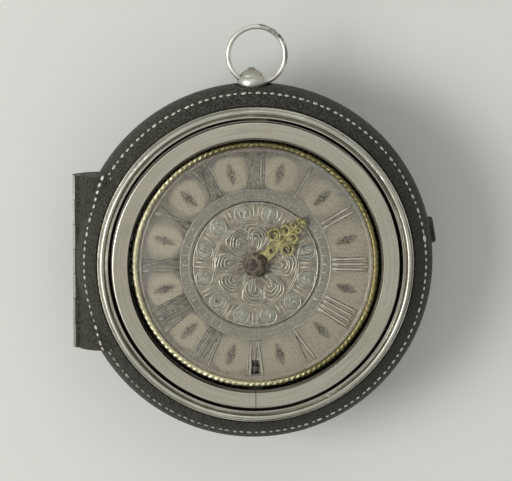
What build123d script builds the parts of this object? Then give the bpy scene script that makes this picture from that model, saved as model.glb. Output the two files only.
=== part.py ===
"""Pair-cased verge alarm watch with one hand, lying on its back.

Millimetres. +Z points out of the dial, +Y to twelve o'clock, +X to three o'clock.
The origin is the centre of the small flat that the domed back rests on.
"""

import os
from math import acos, asin, atan2, cos, degrees, hypot, pi, radians, sin, sqrt

from build123d import *

# Driving sizes of the outer case
case_radius = 34.0
joint_height = 19.5
rest_radius = 9.0
side_radius = 12.0
leather = 0.6
shell_wall = 0.7
bezel_curve = 8.0
bezel_leather_end = 58.0
bezel_ring_end = 60.0
joint_gap = 0.04
overrun = 1.0
flange_inset = 0.5
flange_rise = 6.55

# Silver moulding round the front of the outer case
moulding_gap = 0.75
moulding_width = 2.0
moulding_height = 1.85

# Hinge of the outer case
barrel_radius = 1.15
hinge_proud = 0.55
hinge_length = 33.0
knuckles = 7
knuckle_gap = 0.05
barrel_clearance = 0.1
wall_clearance = 0.25
hinge_pin_radius = 0.45
running_clearance = 0.03
block_reach = 7.5
block_depth = 6.0
block_rise = 5.4

# Push piece and catch of the outer case
button_angle = 9.3
button_drop = 2.0
button_width = 5.1
button_height = 2.2
button_proud = 0.9
shank_width = 3.6
shank_height = 1.3
button_clearance = 0.08
button_travel = 0.5
button_round_share = 0.25
catch_thickness = 0.3
catch_gap = 0.05
catch_depth = 1.9
tongue_gap = 0.15
tongue_thickness = 0.35
tongue_width = 3.0
spring_start = 18.0
spring_sweep = 32.0
spring_height = 1.6

# Inner case
inner_play = 1.6
inner_side = 11.0
inner_wall = 0.6
shoulder_curve = 5.2
shoulder_end = 70.0
shoulder_rise = 5.8
shoulder_under = 60.0
shoulder_reach = 3.85
seat_width = 1.4
neck_height = 1.0
ledge_width = 1.4
ledge_rise = 3.5
ledge_thickness = 0.8
sound_slots = 24
sound_slot_width = 1.6
sound_slot_length = 5.0
sound_slot_height = 15.0

# Split bezel and glass
bezel_inset = 0.1
bezel_overhang = 0.1
bezel_height = 2.7
rebate_width = 0.5
rebate_depth = 0.9
bezel_fit = 0.05
bezel_round = 0.3
bezel_split = 0.15
glass_thickness = 0.8
glass_rise = 4.6
glass_edge = 0.7

# Pendant and bow
pendant_shift = -0.55
notch_shift = -0.25
notch_radius = 3.6
spigot_radius = 0.9
collar_radius = 1.6
collar_length = 0.45
ball_radius = 2.95
ball_proud = 0.3
ball_drop = 2.3
ball_rise = 1.9
ball_foot_share = 0.44
ball_shoulder_shares = ((0.83, 0.67), (0.94, 0.29), (0.8, 0.53))
tip_radius = 0.65
bow_hole = 1.5
bow_hole_rise = 0.3
bow_radius = 5.4
bow_wire = 0.5
bow_shift = 0.4
bow_rise = 4.9

# Bell in the bottom of the inner case
bell_gap = 5.5
bell_rim = 12.0
bell_foot = 0.8
bell_wall = 0.7
bell_side = 6.0
bell_flat = 5.0
bell_boss = 3.0
bell_screw_radius = 1.0
bell_head_radius = 2.0
bell_head = 0.9

# Dial and its rings
dial_gap = 0.65
dial_thickness = 0.8
dial_rise = 2.6
disc_radius = 12.0
disc_gap = 0.1
disc_thickness = 0.8
disc_proud = 0.1
rope_width = 1.0
dial_foot_radius = 0.6
dial_foot_inset = 1.2
dial_feet = 3

# Plates and pillars of the movement
plate_thickness = 1.2
plate_rise = 0.6
plate_gap = 0.4
flange_gap = 0.2
flange_thickness = 0.6
top_plate_low = 11.0
top_plate_gap = 9.6
pillar_inset = 2.2
pillar_angles = (2.0, 74.0, 182.0, 268.0)
pillar_radius = 1.3
pillar_waist = 0.7
pillar_tenon = 0.5
pillar_band_share = 0.125
pillar_waist_share = 0.25
pivot_radius = 0.3
pivot_clearance = 0.04
arbor_radius = 0.5
square_size = 1.3
square_pivot = 0.95
square_length = 2.4

# Wheels: teeth, module and thickness
wheel_thickness = 0.5
tooth_tip_share = 1.05
tooth_root_share = 1.3
tooth_root_width_share = 0.55
tooth_tip_width_share = 0.22
leaf_tip_share = 0.8
leaf_root_share = 1.4
leaf_root_width_share = 0.35
leaf_tip_width_share = 0.25
hour_teeth = 36
report_leaves = 12
great_teeth = 54
second_leaves = 9
great_module = 0.28
second_teeth = 44
contrate_leaves = 8
second_module = 0.25
contrate_teeth = 36
crown_leaves = 6
crown_teeth = 15
alarm_teeth = 40
alarm_leaves = 8
alarm_module = 0.25
strike_teeth = 13

# Places of the arbors, seen from the dial
fusee_place = (-10.5, -5.5)
barrel_place = (8.0, -10.5)
alarm_place = (11.5, 9.5)
second_angle = 100.0
contrate_angle = 35.0
strike_angle = -60.0
hammer_place = (17.3, -5.0)

# Fusee, barrel and chain
great_height = 20.6
fusee_low = 13.6
fusee_large = 5.6
fusee_small = 2.2
fusee_grooves = 7
groove_land_share = 0.6
groove_side_share = 0.7
spring_barrel_radius = 7.0
spring_barrel_low = 13.4
spring_barrel_high = 20.4
barrel_cap = 0.4
chain_height = 0.8
chain_thickness = 0.3
chain_clearance = 0.1
chain_drop_share = 1.1

# Escapement
second_height = 14.0
contrate_radius = 4.2
contrate_ring = 0.6
contrate_low = 17.6
contrate_tooth = 0.9
contrate_disc = 0.5
contrate_gap_shares = (0.23, 0.38)
contrate_hub_share = 2.4
contrate_rim_share = 1.6
crown_height = 16.9
crown_radius = 3.0
crown_rim = 0.4
crown_depth = 1.65
crown_tooth = 0.9
saw_lean_share = 0.88
verge_gap = 0.95
pallet_reach = 0.85
pallet_width = 0.3
pallet_height = 1.2
pallet_turn = 50.0
verge_radius = 0.35
balance_radius = 8.0
balance_rim = 0.7
balance_low = 8.9
balance_thickness = 0.6
balance_arms = 4
balance_arm_width = 0.7
cock_low = 7.7
cock_thickness = 0.7
cock_radius = 8.4
cock_foot_angle = 98.0
cock_foot_place = 11.4
cock_foot_width = 8.0
cock_foot_length = 3.2
cock_piercings = 8
cock_piercing_shares = (0.6, 0.5, 0.22)
cock_screw_radius = 0.7
cock_screw_head = 1.1
screw_slot_share = 0.25
potence_width = 3.0
potence_thickness = 1.4
potence_top = 22.0

# Alarm work
alarm_barrel_radius = 4.6
alarm_barrel_low = 15.6
alarm_barrel_high = 21.4
alarm_wheel_low = 14.7
strike_radius = 3.0
strike_low = 13.2
strike_step_share = 0.1
hammer_head_angle = 7.33
hammer_head_inset = 2.865
hammer_head_radius = 0.9
hammer_head_low = 9.4
hammer_head_height = 1.4
hammer_arm_width = 1.0
hammer_arm_height = 0.8

# Hand, hour wheel and latch
pipe_radius = 1.3
stud_radius = 0.6
hour_wheel_lift = 0.3
pipe_proud = 0.25
pipe_collar = 2.2
hand_lift = 0.6
hand_thickness = 0.45
hand_length = 13.1
hand_angle = 43.0
hand_hub = 1.9
boss_radius = 2.4
boss_height = 1.5
latch_width = 2.8
latch_thickness = 0.7
latch_lift = 0.1
latch_bite = 0.4
latch_length = 8.6
latch_fit = 0.08
slot_width = 1.3
slot_gap = 1.3
slot_length = 2.6
nib_width = 1.0
nib_inset = 0.5
nib_length = 1.0
nib_depth = 0.15

# Radii that follow each other inwards from the outer case
inner_radius = case_radius - leather - shell_wall - inner_play
seat_radius = inner_radius - shoulder_reach
neck_outer = seat_radius - seat_width
neck_inner = neck_outer - inner_wall
ledge_inner = neck_inner - ledge_width
bezel_outer = seat_radius - bezel_inset
bezel_inner = ledge_inner - bezel_overhang
moulding_inner = bezel_outer + moulding_gap
moulding_outer = moulding_inner + moulding_width
flange_inner = moulding_inner + flange_inset
dial_radius = ledge_inner - dial_gap
rope_inner = dial_radius - rope_width
dial_foot_place = rope_inner - dial_foot_inset
pillar_plate_radius = ledge_inner - plate_gap
flange_radius = neck_inner - flange_gap
top_plate_radius = inner_radius - top_plate_gap
pillar_circle = top_plate_radius - pillar_inset
bell_radius = inner_radius - bell_gap
latch_outer = neck_inner + latch_bite
latch_inner = latch_outer - latch_length
slot_outer = rope_inner - slot_gap
slot_inner = slot_outer - slot_length
nib_outer = slot_outer - nib_inset
nib_inner = nib_outer - nib_length

# Heights that follow each other upwards from the joint of the cases
flange_top = joint_height + flange_rise
ledge_height = joint_height + ledge_rise
pillar_plate_top = ledge_height + plate_rise
latch_low = pillar_plate_top + latch_lift
hour_wheel_low = pillar_plate_top + hour_wheel_lift
dial_top = ledge_height + dial_rise
hand_low = dial_top + hand_lift
pipe_top = hand_low + hand_thickness + pipe_proud

# Places along the pendant, from the middle of the watch to its tip
ball_height = case_radius + ball_proud
ball_low = ball_height - ball_drop
ball_top = ball_height + ball_rise
bow_axis = ball_height + bow_hole_rise
bow_centre = (bow_shift, ball_height + bow_rise)

hinge_x = -(case_radius + hinge_proud - barrel_radius)
bezel_seat = joint_height + shoulder_rise
inner_floor = leather + shell_wall
case_floor = inner_floor + inner_wall
pillar_low = top_plate_low + plate_thickness
pillar_high = pillar_plate_top - plate_thickness
upright = (Align.CENTER, Align.CENTER, Align.MIN)


def turned(angle, radius):
    """Point at an angle in degrees on a circle about the origin."""
    return radius * cos(radians(angle)), radius * sin(radians(angle))


def beside(place, angle, distance):
    """Point at a distance from another, along an angle in degrees."""
    across, along = turned(angle, distance)
    return place[0] + across, place[1] + along


def radial_planes(count, centre, turn=0.0):
    """Planes through an upright axis, each looking outwards from it."""
    planes = []
    for index in range(count):
        angle = radians(turn + 360 * index / count)
        outwards = (cos(angle), sin(angle), 0)
        planes.append(Plane(centre, x_dir=(-sin(angle), cos(angle), 0), z_dir=outwards))
    return planes


def bowl(radius, base, rim, side, flat):
    """Half outline of a bowl: a flat, a wide arc and a side arc that ends upright."""
    height = rim - base
    reach = radius - side - flat
    bottom = (reach**2 + height**2 - side**2) / (2 * (height - side))
    bend = degrees(atan2(height - bottom, reach))
    Line((0, base), (flat, base))
    CenterArc((flat, base + bottom), bottom, -90, 90 + bend)
    CenterArc((radius - side, rim), side, bend, -bend)


def bowl_shell(radius, base, rim, side, flat, wall):
    """Face of one half of a bowl of even wall, drawn on the XZ plane."""
    with BuildSketch(Plane.XZ) as half:
        with BuildLine():
            bowl(radius, base, rim, side, flat)
            bowl(radius - wall, base + wall, rim, side - wall, flat)
            Line((0, base), (0, base + wall))
            Line((radius, rim), (radius - wall, rim))
        make_face()
    return half.sketch


def tooth_points(teeth, module, turn, tip, root, root_width, tip_width):
    """Corners of a toothed outline with straight-flanked teeth."""
    pitch_radius = module * teeth / 2
    half_pitch = 180 / teeth
    low, high = pitch_radius - root * module, pitch_radius + tip * module
    points = []
    for index in range(teeth):
        middle = turn + 360 * index / teeth
        points.append(turned(middle - root_width * half_pitch, low))
        points.append(turned(middle - tip_width * half_pitch, high))
        points.append(turned(middle + tip_width * half_pitch, high))
        points.append(turned(middle + root_width * half_pitch, low))
    return points


def wheel_rim(teeth, module, place, low, turn):
    """Toothed wheel blank on its arbor."""
    with BuildSketch(Plane((*place, low))) as blank:
        with BuildLine():
            Polyline(*tooth_points(teeth, module, turn, tooth_tip_share, tooth_root_share,
                                   tooth_root_width_share, tooth_tip_width_share), close=True)
        make_face()
    extrude(blank.sketch, amount=wheel_thickness)


def leaves(count, module, plane, length, turn):
    """Pinion with few leaves, cut from the arbor."""
    with BuildSketch(plane) as blank:
        with BuildLine():
            Polyline(*tooth_points(count, module, turn, leaf_tip_share, leaf_root_share,
                                   leaf_root_width_share, leaf_tip_width_share), close=True)
        make_face()
    extrude(blank.sketch, amount=length)


def crossings(place, low, hub, rim, arms, arm_width):
    """Windows between the arms of a wheel."""
    with BuildSketch(Plane((*place, low))) as windows:
        Circle(rim)
        Circle(hub, mode=Mode.SUBTRACT)
        with PolarLocations(0, arms):
            Rectangle(2 * rim, arm_width, align=(Align.MIN, Align.CENTER), mode=Mode.SUBTRACT)
    extrude(windows.sketch, amount=wheel_thickness, mode=Mode.SUBTRACT)


def rod(place, radius, low, high, mode=Mode.ADD):
    """Upright round rod or bore."""
    with Locations((*place, low)):
        Cylinder(radius, high - low, align=upright, mode=mode)


def arbor(place, low, high):
    """Arbor with a thin pivot at each end that runs in the plates."""
    rod(place, arbor_radius, low, high)
    rod(place, pivot_radius, top_plate_low, pillar_plate_top)


def winding_square(place):
    """Square end of an arbor, behind the top plate, that takes the key."""
    with Locations((*place, top_plate_low - square_length)):
        Box(square_size, square_size, square_length, align=upright)


def along_twelve(across, start):
    """Plane square to the line from six to twelve, at the height of the joint."""
    return Plane((across, start, joint_height), x_dir=(1, 0, 0), z_dir=(0, 1, 0))


def knuckle_row(first):
    """Every second barrel of the case hinge, from the first one named."""
    pitch = hinge_length / knuckles
    for index in range(first, knuckles, 2):
        start = -hinge_length / 2 + index * pitch
        with BuildSketch(along_twelve(hinge_x, start + knuckle_gap)) as barrel:
            Circle(barrel_radius)
        extrude(barrel.sketch, amount=pitch - 2 * knuckle_gap)


def knuckle_room(first, room):
    """Room cut for the other leaf's barrels, the full pitch long."""
    pitch = hinge_length / knuckles
    for index in range(first, knuckles, 2):
        start = -hinge_length / 2 + index * pitch
        with BuildSketch(along_twelve(hinge_x, start)) as barrel:
            Circle(barrel_radius + room)
        extrude(barrel.sketch, amount=pitch, mode=Mode.SUBTRACT)


def hinge_bore(radius, mode=Mode.SUBTRACT):
    """Bore or pin along the whole hinge."""
    with BuildSketch(along_twelve(hinge_x, -hinge_length / 2)) as bore:
        Circle(radius)
    extrude(bore.sketch, amount=hinge_length, mode=mode)


def notch():
    """Round notch at twelve o'clock for the pendant."""
    with BuildSketch(along_twelve(notch_shift, 0)) as opening:
        Circle(notch_radius)
    extrude(opening.sketch, amount=case_radius + overrun, mode=Mode.SUBTRACT)


second_place = beside(fusee_place, second_angle, great_module * (great_teeth + second_leaves) / 2)
contrate_place = beside(second_place, contrate_angle, second_module * (second_teeth + contrate_leaves) / 2)
strike_place = beside(alarm_place, strike_angle, alarm_module * (alarm_teeth + alarm_leaves) / 2)
report_module = 2 * hypot(*fusee_place) / (hour_teeth + report_leaves)
report_angle = degrees(atan2(fusee_place[1], fusee_place[0]))
crown_module = 2 * (contrate_radius - contrate_ring / 2) / contrate_teeth
crown_pinion_x = contrate_place[0] + contrate_radius - contrate_ring
verge_x = crown_pinion_x + contrate_radius + crown_radius / 2
verge_place = (verge_x, contrate_place[1])

crown_plane_x = verge_x - verge_gap - crown_depth
block_belly_share = (0.2, 0.62)
block_crown_share = (0.15, 0.6)
hammer_head_place = turned(hammer_head_angle, bell_radius - hammer_head_inset)


def block_side(rise, belly):
    """Side outline of one leaf of the case hinge, from its outer face to inside the case."""
    outer = -case_radius - hinge_proud if rise < 0 else hinge_x
    inner = outer + block_reach
    start = -barrel_radius if rise < 0 else barrel_radius
    with BuildSketch(Plane((0, hinge_length / 2, joint_height), x_dir=(1, 0, 0), z_dir=(0, -1, 0))) as side:
        with BuildLine():
            Line((outer, start), (outer, 0))
            Line((outer, 0), (inner, 0))
            Line((inner, 0), (inner, rise))
            ThreePointArc((inner, rise), (outer + belly[0] * block_reach, belly[1] * rise), (outer, start))
        make_face()
    extrude(side.sketch, amount=hinge_length)


def core(wall, side, curve):
    """Solid that fills the case inside one of its walls, for trimming the hinge blocks."""
    with BuildSketch(Plane.XZ) as half:
        with BuildLine():
            bowl(case_radius - wall, wall, joint_height, side - wall, rest_radius)
            CenterArc((case_radius - bezel_curve, joint_height), curve, 0, 90)
            Line((case_radius - bezel_curve, joint_height + curve), (0, joint_height + curve))
            Line((0, joint_height + curve), (0, wall))
        make_face()
    revolve(half.sketch, axis=Axis.Z, mode=Mode.SUBTRACT)


case_wall = leather + shell_wall


def wall_inside(drop):
    """Inner radius of the bowl at a depth below the joint."""
    return case_radius - side_radius + sqrt((side_radius - case_wall) ** 2 - drop**2)


# Lower leaf of the case hinge, trimmed by the inside of the case wall
with BuildPart() as case_hinge_block:
    block_side(-block_depth, block_belly_share)
    core(case_wall, side_radius, bezel_curve - case_wall)
    lower_block = case_hinge_block.part
    knuckle_room(1, barrel_clearance)
    knuckle_row(0)
    hinge_bore(hinge_pin_radius + running_clearance)

# Upper leaf, lifted clear of the joint
with BuildPart() as bezel_hinge_block:
    block_side(block_rise, block_crown_share)
    core(case_wall, side_radius, bezel_curve - case_wall)
    upper_block = bezel_hinge_block.part
    with Locations((0, 0, joint_height + joint_gap)):
        Box(2 * case_radius + overrun, 2 * case_radius + overrun, case_radius,
            align=(Align.CENTER, Align.CENTER, Align.MAX), mode=Mode.SUBTRACT)
    knuckle_room(0, barrel_clearance)
    knuckle_row(1)
    hinge_bore(hinge_pin_radius + running_clearance)

with BuildPart() as case_hinge_pin:
    hinge_bore(hinge_pin_radius, mode=Mode.ADD)


def hinge_room(block):
    """Take the hinge block and the turning room of its barrels out of a case wall."""
    add(block, mode=Mode.SUBTRACT)
    with BuildSketch(along_twelve(hinge_x, -hinge_length / 2)) as turn:
        Circle(barrel_radius + wall_clearance)
    extrude(turn.sketch, amount=hinge_length, mode=Mode.SUBTRACT)


def button_slot(width, height, depth_from, length, mode=Mode.SUBTRACT):
    """Stadium along the line of the push piece."""
    along = turned(button_angle, 1)
    start = turned(button_angle, depth_from)
    with BuildSketch(Plane((*start, joint_height - button_drop), x_dir=(-along[1], along[0], 0),
                           z_dir=(*along, 0))) as stadium:
        SlotOverall(width, height)
    extrude(stadium.sketch, amount=length, mode=mode)


# Leather cover of the bowl
with BuildPart() as outer_case_leather:
    revolve(bowl_shell(case_radius, 0, joint_height, side_radius, rest_radius, leather), axis=Axis.Z)
    hinge_room(lower_block)
    notch()
    button_slot(button_width + 2 * button_clearance, button_height + 2 * button_clearance,
                case_radius - case_wall, case_wall + overrun)

# Metal bowl under the leather
with BuildPart() as outer_case_shell:
    revolve(bowl_shell(case_radius - leather, leather, joint_height, side_radius - leather, rest_radius,
                       shell_wall), axis=Axis.Z)
    hinge_room(lower_block)
    notch()
    button_slot(shank_width + 2 * button_clearance, shank_height + 2 * button_clearance,
                case_radius - 2 * case_wall, 2 * case_wall + overrun)

bezel_centre = (case_radius - bezel_curve, joint_height)


def curved_band(outer, wall, sweep):
    """Half section of the curved front wall of the outer case."""
    lift = degrees(asin(joint_gap / outer))
    lift_inside = degrees(asin(joint_gap / (outer - wall)))
    with BuildSketch(Plane.XZ) as band:
        with BuildLine():
            rim = CenterArc(bezel_centre, outer, lift, sweep - lift)
            inside = CenterArc(bezel_centre, outer - wall, lift_inside, sweep - lift_inside)
            Line(rim @ 0, inside @ 0)
            Line(rim @ 1, inside @ 1)
        make_face()
    return band.sketch


# Leather cover of the front ring
with BuildPart() as outer_bezel_leather:
    revolve(curved_band(bezel_curve, leather, bezel_leather_end), axis=Axis.Z)
    hinge_room(upper_block)
    notch()

# Metal front ring with the flat flange under the moulding
ring_curve = bezel_curve - leather
ring_inner_end = beside(bezel_centre, bezel_ring_end, ring_curve - shell_wall)
ring_outer_end = beside(bezel_centre, bezel_ring_end, ring_curve)
with BuildPart() as outer_bezel_ring:
    revolve(curved_band(ring_curve, shell_wall, bezel_ring_end), axis=Axis.Z)
    with BuildSketch(Plane.XZ):
        with BuildLine():
            Polyline((flange_inner, ring_inner_end[1]), ring_inner_end, ring_outer_end,
                     (ring_outer_end[0], flange_top), (flange_inner, flange_top), close=True)
        make_face()
    revolve(axis=Axis.Z)
    hinge_room(upper_block)
    notch()

# Silver moulding, as shares of its width and height: edge bead, groove, tall bead, cove and inner lip
edge_bead_share = (0.14, 0.38)
groove_share = (0.21, 0.28)
tall_bead_share = (0.64, 0.72)
cove_share = (0.90, 0.30)
lip_share = 0.50


def moulding_point(across, up):
    """Point of the moulding's section, from its outer foot inwards and up."""
    return moulding_outer - across * moulding_width, flange_top + up * moulding_height


with BuildPart() as outer_bezel_moulding:
    bead_radius = (tall_bead_share[0] - groove_share[0]) * moulding_width / 2
    bead_middle = moulding_point((tall_bead_share[0] + groove_share[0]) / 2, tall_bead_share[1])
    edge_radius = edge_bead_share[0] * moulding_width / 2
    edge_middle = moulding_point(edge_bead_share[0] / 2, edge_bead_share[1])
    cove_corner = moulding_point(tall_bead_share[0], cove_share[1])
    cove_radius = (cove_share[0] - tall_bead_share[0]) * moulding_width
    with BuildSketch(Plane.XZ):
        with BuildLine():
            Polyline(moulding_point(1, 0), moulding_point(0, 0), moulding_point(0, edge_bead_share[1]))
            CenterArc(edge_middle, edge_radius, 0, 180)
            Polyline(moulding_point(*edge_bead_share), moulding_point(edge_bead_share[0], groove_share[1]),
                     moulding_point(*groove_share), moulding_point(groove_share[0], tall_bead_share[1]))
            CenterArc(bead_middle, bead_radius, 0, 180)
            Line(moulding_point(*tall_bead_share), (cove_corner[0], cove_corner[1] + cove_radius))
            CenterArc((cove_corner[0] - cove_radius, cove_corner[1] + cove_radius), cove_radius, 270, 90)
            Polyline(moulding_point(*cove_share), moulding_point(cove_share[0], lip_share),
                     moulding_point(1, lip_share), moulding_point(1, 0))
        make_face()
    revolve(axis=Axis.Z)

# Push piece with its shank and the catch plate on the inner end
catch_height = catch_depth + shank_height / 2
shank_inner = wall_inside(button_drop + catch_height / 2) - catch_gap
head_inner = case_radius - leather + button_travel + catch_gap
along_button = turned(button_angle, 1)
with BuildPart() as push_button:
    button_slot(button_width, button_height, head_inner, case_radius + button_proud - head_inner, Mode.ADD)
    outer_end = push_button.faces().sort_by(Axis((0, 0, 0), (*along_button, 0)))[-1]
    fillet(outer_end.edges(), button_height * button_round_share)
    button_slot(shank_width, shank_height, shank_inner - catch_thickness,
                head_inner - shank_inner + catch_thickness, Mode.ADD)
    button_slot(shank_width, catch_height, shank_inner - catch_thickness, catch_thickness, Mode.ADD)

# Leaf spring behind the catch, and the tongue of the front ring that the catch takes
with BuildPart() as catch_spring:
    with BuildSketch(Plane.XY.offset(joint_height - button_drop - spring_height / 2)):
        with BuildLine():
            leaf_radius = wall_inside(button_drop + spring_height / 2)
            leaf = CenterArc((0, 0), leaf_radius, spring_start, spring_sweep)
            leaf_back = CenterArc((0, 0), leaf_radius - catch_thickness, spring_start, spring_sweep)
            Line(leaf @ 0, leaf_back @ 0)
            Line(leaf @ 1, leaf_back @ 1)
        make_face()
    extrude(amount=spring_height)

with BuildPart() as bezel_catch:
    tongue_low = joint_height - button_drop + catch_height / 2 + tongue_gap
    with BuildSketch(Plane.XY.offset(tongue_low)):
        with BuildLine():
            face = CenterArc((0, 0), case_radius - case_wall - catch_gap, button_angle - tongue_width,
                             2 * tongue_width)
            back = CenterArc((0, 0), case_radius - case_wall - catch_gap - tongue_thickness,
                             button_angle - tongue_width, 2 * tongue_width)
            Line(face @ 0, back @ 0)
            Line(face @ 1, back @ 1)
        make_face()
    extrude(amount=joint_height + joint_gap - tongue_low + tongue_thickness)

# Inner case: bowl, curved shoulder, seat and neck for the bezel, ledge for the movement
with BuildPart() as inner_case_body:
    with BuildSketch(Plane.XZ):
        with BuildLine():
            shoulder = (inner_radius - shoulder_curve, joint_height)
            bowl(inner_radius, inner_floor, joint_height, inner_side, rest_radius)
            top = CenterArc(shoulder, shoulder_curve, 0, shoulder_end)
            Polyline(top @ 1, (seat_radius, bezel_seat), (neck_outer, bezel_seat),
                     (neck_outer, bezel_seat + neck_height), (neck_inner, bezel_seat + neck_height),
                     (neck_inner, ledge_height), (ledge_inner, ledge_height),
                     (ledge_inner, ledge_height - ledge_thickness),
                     (shoulder[0], ledge_height - ledge_thickness))
            under = CenterArc(shoulder, shoulder_curve - inner_wall, 0, shoulder_under)
            Polyline((shoulder[0], ledge_height - ledge_thickness), (shoulder[0], (under @ 1).Y), under @ 1)
            bowl(inner_radius - inner_wall, case_floor, joint_height, inner_side - inner_wall, rest_radius)
            Line((0, inner_floor), (0, case_floor))
        make_face()
    revolve(axis=Axis.Z)
    with BuildSketch(*radial_planes(sound_slots, (0, 0, sound_slot_height), 180 / sound_slots)):
        SlotOverall(sound_slot_length, sound_slot_width, rotation=90)
    extrude(amount=inner_radius + overrun, mode=Mode.SUBTRACT)
    with BuildSketch(along_twelve(pendant_shift, 0)):
        Circle(spigot_radius + running_clearance)
    extrude(amount=inner_radius + overrun, mode=Mode.SUBTRACT)
    with Locations((0, -neck_inner, latch_low + latch_thickness / 2)):
        Box(latch_width + 2 * latch_fit, 2 * (latch_outer - neck_inner + latch_fit),
            latch_thickness + 2 * latch_fit, mode=Mode.SUBTRACT)

# Split bezel, sprung over the neck
with BuildPart() as glass_bezel:
    bezel_top = bezel_seat + bezel_height
    with BuildSketch(Plane.XZ):
        with BuildLine():
            groove = neck_outer + bezel_fit
            groove_top = bezel_seat + neck_height + bezel_fit
            rebate = bezel_inner + rebate_width
            rebate_low = bezel_top - rebate_depth
            Polyline((bezel_outer - bezel_round, bezel_top), (rebate, bezel_top), (rebate, rebate_low),
                     (bezel_inner, rebate_low), (bezel_inner, groove_top), (groove, groove_top),
                     (groove, bezel_seat), (bezel_outer, bezel_seat), (bezel_outer, bezel_top - bezel_round))
            RadiusArc((bezel_outer, bezel_top - bezel_round), (bezel_outer - bezel_round, bezel_top),
                      -bezel_round)
        make_face()
    revolve(axis=Axis.Z)
    with Locations((0, -bezel_outer, bezel_seat)):
        Box(bezel_split, 2 * (bezel_outer - bezel_inner) + overrun, 2 * bezel_height, mode=Mode.SUBTRACT)

# High domed glass in the rebate of the bezel
with BuildPart() as watch_glass:
    glass_radius = bezel_inner + rebate_width - bezel_fit
    glass_low = bezel_top - rebate_depth
    crown = glass_low + glass_edge + glass_rise
    dome = (glass_radius**2 + glass_rise**2) / (2 * glass_rise)
    spring_angle = degrees(acos(glass_radius / dome))
    inside_radius = glass_radius - glass_thickness
    inside_rise = glass_rise + glass_edge - glass_thickness
    inside_dome = (inside_radius**2 + inside_rise**2) / (2 * inside_rise)
    inside_angle = degrees(acos(inside_radius / inside_dome))
    with BuildSketch(Plane.XZ):
        with BuildLine():
            Line((glass_radius, glass_low), (glass_radius, glass_low + glass_edge))
            CenterArc((0, crown - dome), dome, spring_angle, 90 - spring_angle)
            Line((0, crown), (0, crown - glass_thickness))
            CenterArc((0, crown - glass_thickness - inside_dome), inside_dome, inside_angle,
                      90 - inside_angle)
            Line((inside_radius, glass_low), (glass_radius, glass_low))
        make_face()
    revolve(axis=Axis.Z)

# Pendant: spigot through the band, collar, bud-shaped ball with the hole for the bow
with BuildPart() as pendant:
    spigot_start = inner_radius - inner_wall
    collar_start = inner_radius + catch_gap
    ball_foot = (ball_radius * ball_foot_share, ball_low)
    below, above, shoulder_corner = ball_shoulder_shares
    ball_corner = (ball_radius * shoulder_corner[0], ball_height + ball_rise * shoulder_corner[1])
    with BuildSketch(Plane((pendant_shift, 0, joint_height))):
        with BuildLine():
            Polyline((0, spigot_start), (spigot_radius, spigot_start), (spigot_radius, collar_start),
                     (collar_radius, collar_start), (collar_radius, collar_start + collar_length), ball_foot)
            ThreePointArc(ball_foot, (ball_radius * below[0], ball_height - ball_drop * below[1]),
                          (ball_radius, ball_height))
            ThreePointArc((ball_radius, ball_height),
                          (ball_radius * above[0], ball_height + ball_rise * above[1]), ball_corner)
            Line(ball_corner, (tip_radius, ball_top))
            CenterArc((0, ball_top), tip_radius, 0, 90)
            Line((0, ball_top + tip_radius), (0, spigot_start))
        make_face()
    revolve(axis=Axis((pendant_shift, 0, joint_height), (0, 1, 0)))
    hole_start = pendant_shift - ball_radius - overrun
    with BuildSketch(Plane((hole_start, bow_axis, joint_height), x_dir=(0, 1, 0), z_dir=(1, 0, 0))):
        Circle(bow_hole)
    extrude(amount=2 * (ball_radius + overrun), mode=Mode.SUBTRACT)

# Bow: round wire ring through the ball
with BuildPart() as bow:
    with BuildSketch(along_twelve(bow_centre[0] + bow_radius, bow_centre[1])):
        Circle(bow_wire)
    revolve(axis=Axis((*bow_centre, joint_height), (0, 0, 1)))

# Bell, standing on a boss and held by one screw
with BuildPart() as bell:
    bell_base = case_floor + bell_foot
    revolve(bowl_shell(bell_radius, bell_base, bell_rim, bell_side, bell_flat, bell_wall), axis=Axis.Z)
    rod((0, 0), bell_boss, case_floor, bell_base)
    rod((0, 0), bell_screw_radius + pivot_clearance, case_floor, bell_base + bell_wall, Mode.SUBTRACT)

with BuildPart() as bell_screw:
    rod((0, 0), bell_screw_radius, case_floor, bell_base + bell_wall)
    rod((0, 0), bell_head_radius, bell_base + bell_wall, bell_base + bell_wall + bell_head)
    with Locations((0, 0, bell_base + bell_wall + bell_head)):
        Box(2 * bell_head_radius, bell_head_radius * screw_slot_share, bell_head, mode=Mode.SUBTRACT)

# Dial: annulus with the latch slot, standing on three feet
dial_low = dial_top - dial_thickness
with BuildPart() as dial_plate:
    rod((0, 0), rope_inner, dial_low, dial_top)
    rod((0, 0), disc_radius + disc_gap, dial_low, dial_top, Mode.SUBTRACT)
    with Locations((0, -(slot_inner + slot_outer) / 2, dial_low)):
        Box(slot_width, slot_outer - slot_inner, dial_thickness, align=upright, mode=Mode.SUBTRACT)
    for index in range(dial_feet):
        foot = turned(90 + 360 * index / dial_feet, dial_foot_place)
        rod(foot, dial_foot_radius, pillar_plate_top, dial_low)

# Gilt rope ring round the dial: a flat ring with a half-round bead on top
with BuildPart() as rope_ring:
    rod((0, 0), dial_radius, dial_low, dial_top)
    rod((0, 0), rope_inner, dial_low, dial_top, Mode.SUBTRACT)
    with BuildSketch(Plane.XZ):
        with Locations((rope_inner + rope_width / 2, dial_top)):
            Circle(rope_width / 2)
    revolve(axis=Axis.Z)

# Alarm disc with its rim line, driven by friction on the pipe
with BuildPart() as alarm_disc:
    disc_low = dial_top + disc_proud - disc_thickness
    rod((0, 0), disc_radius, disc_low, disc_low + disc_thickness)
    rod((0, 0), pipe_radius + running_clearance, disc_low, disc_low + disc_thickness, Mode.SUBTRACT)

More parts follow.
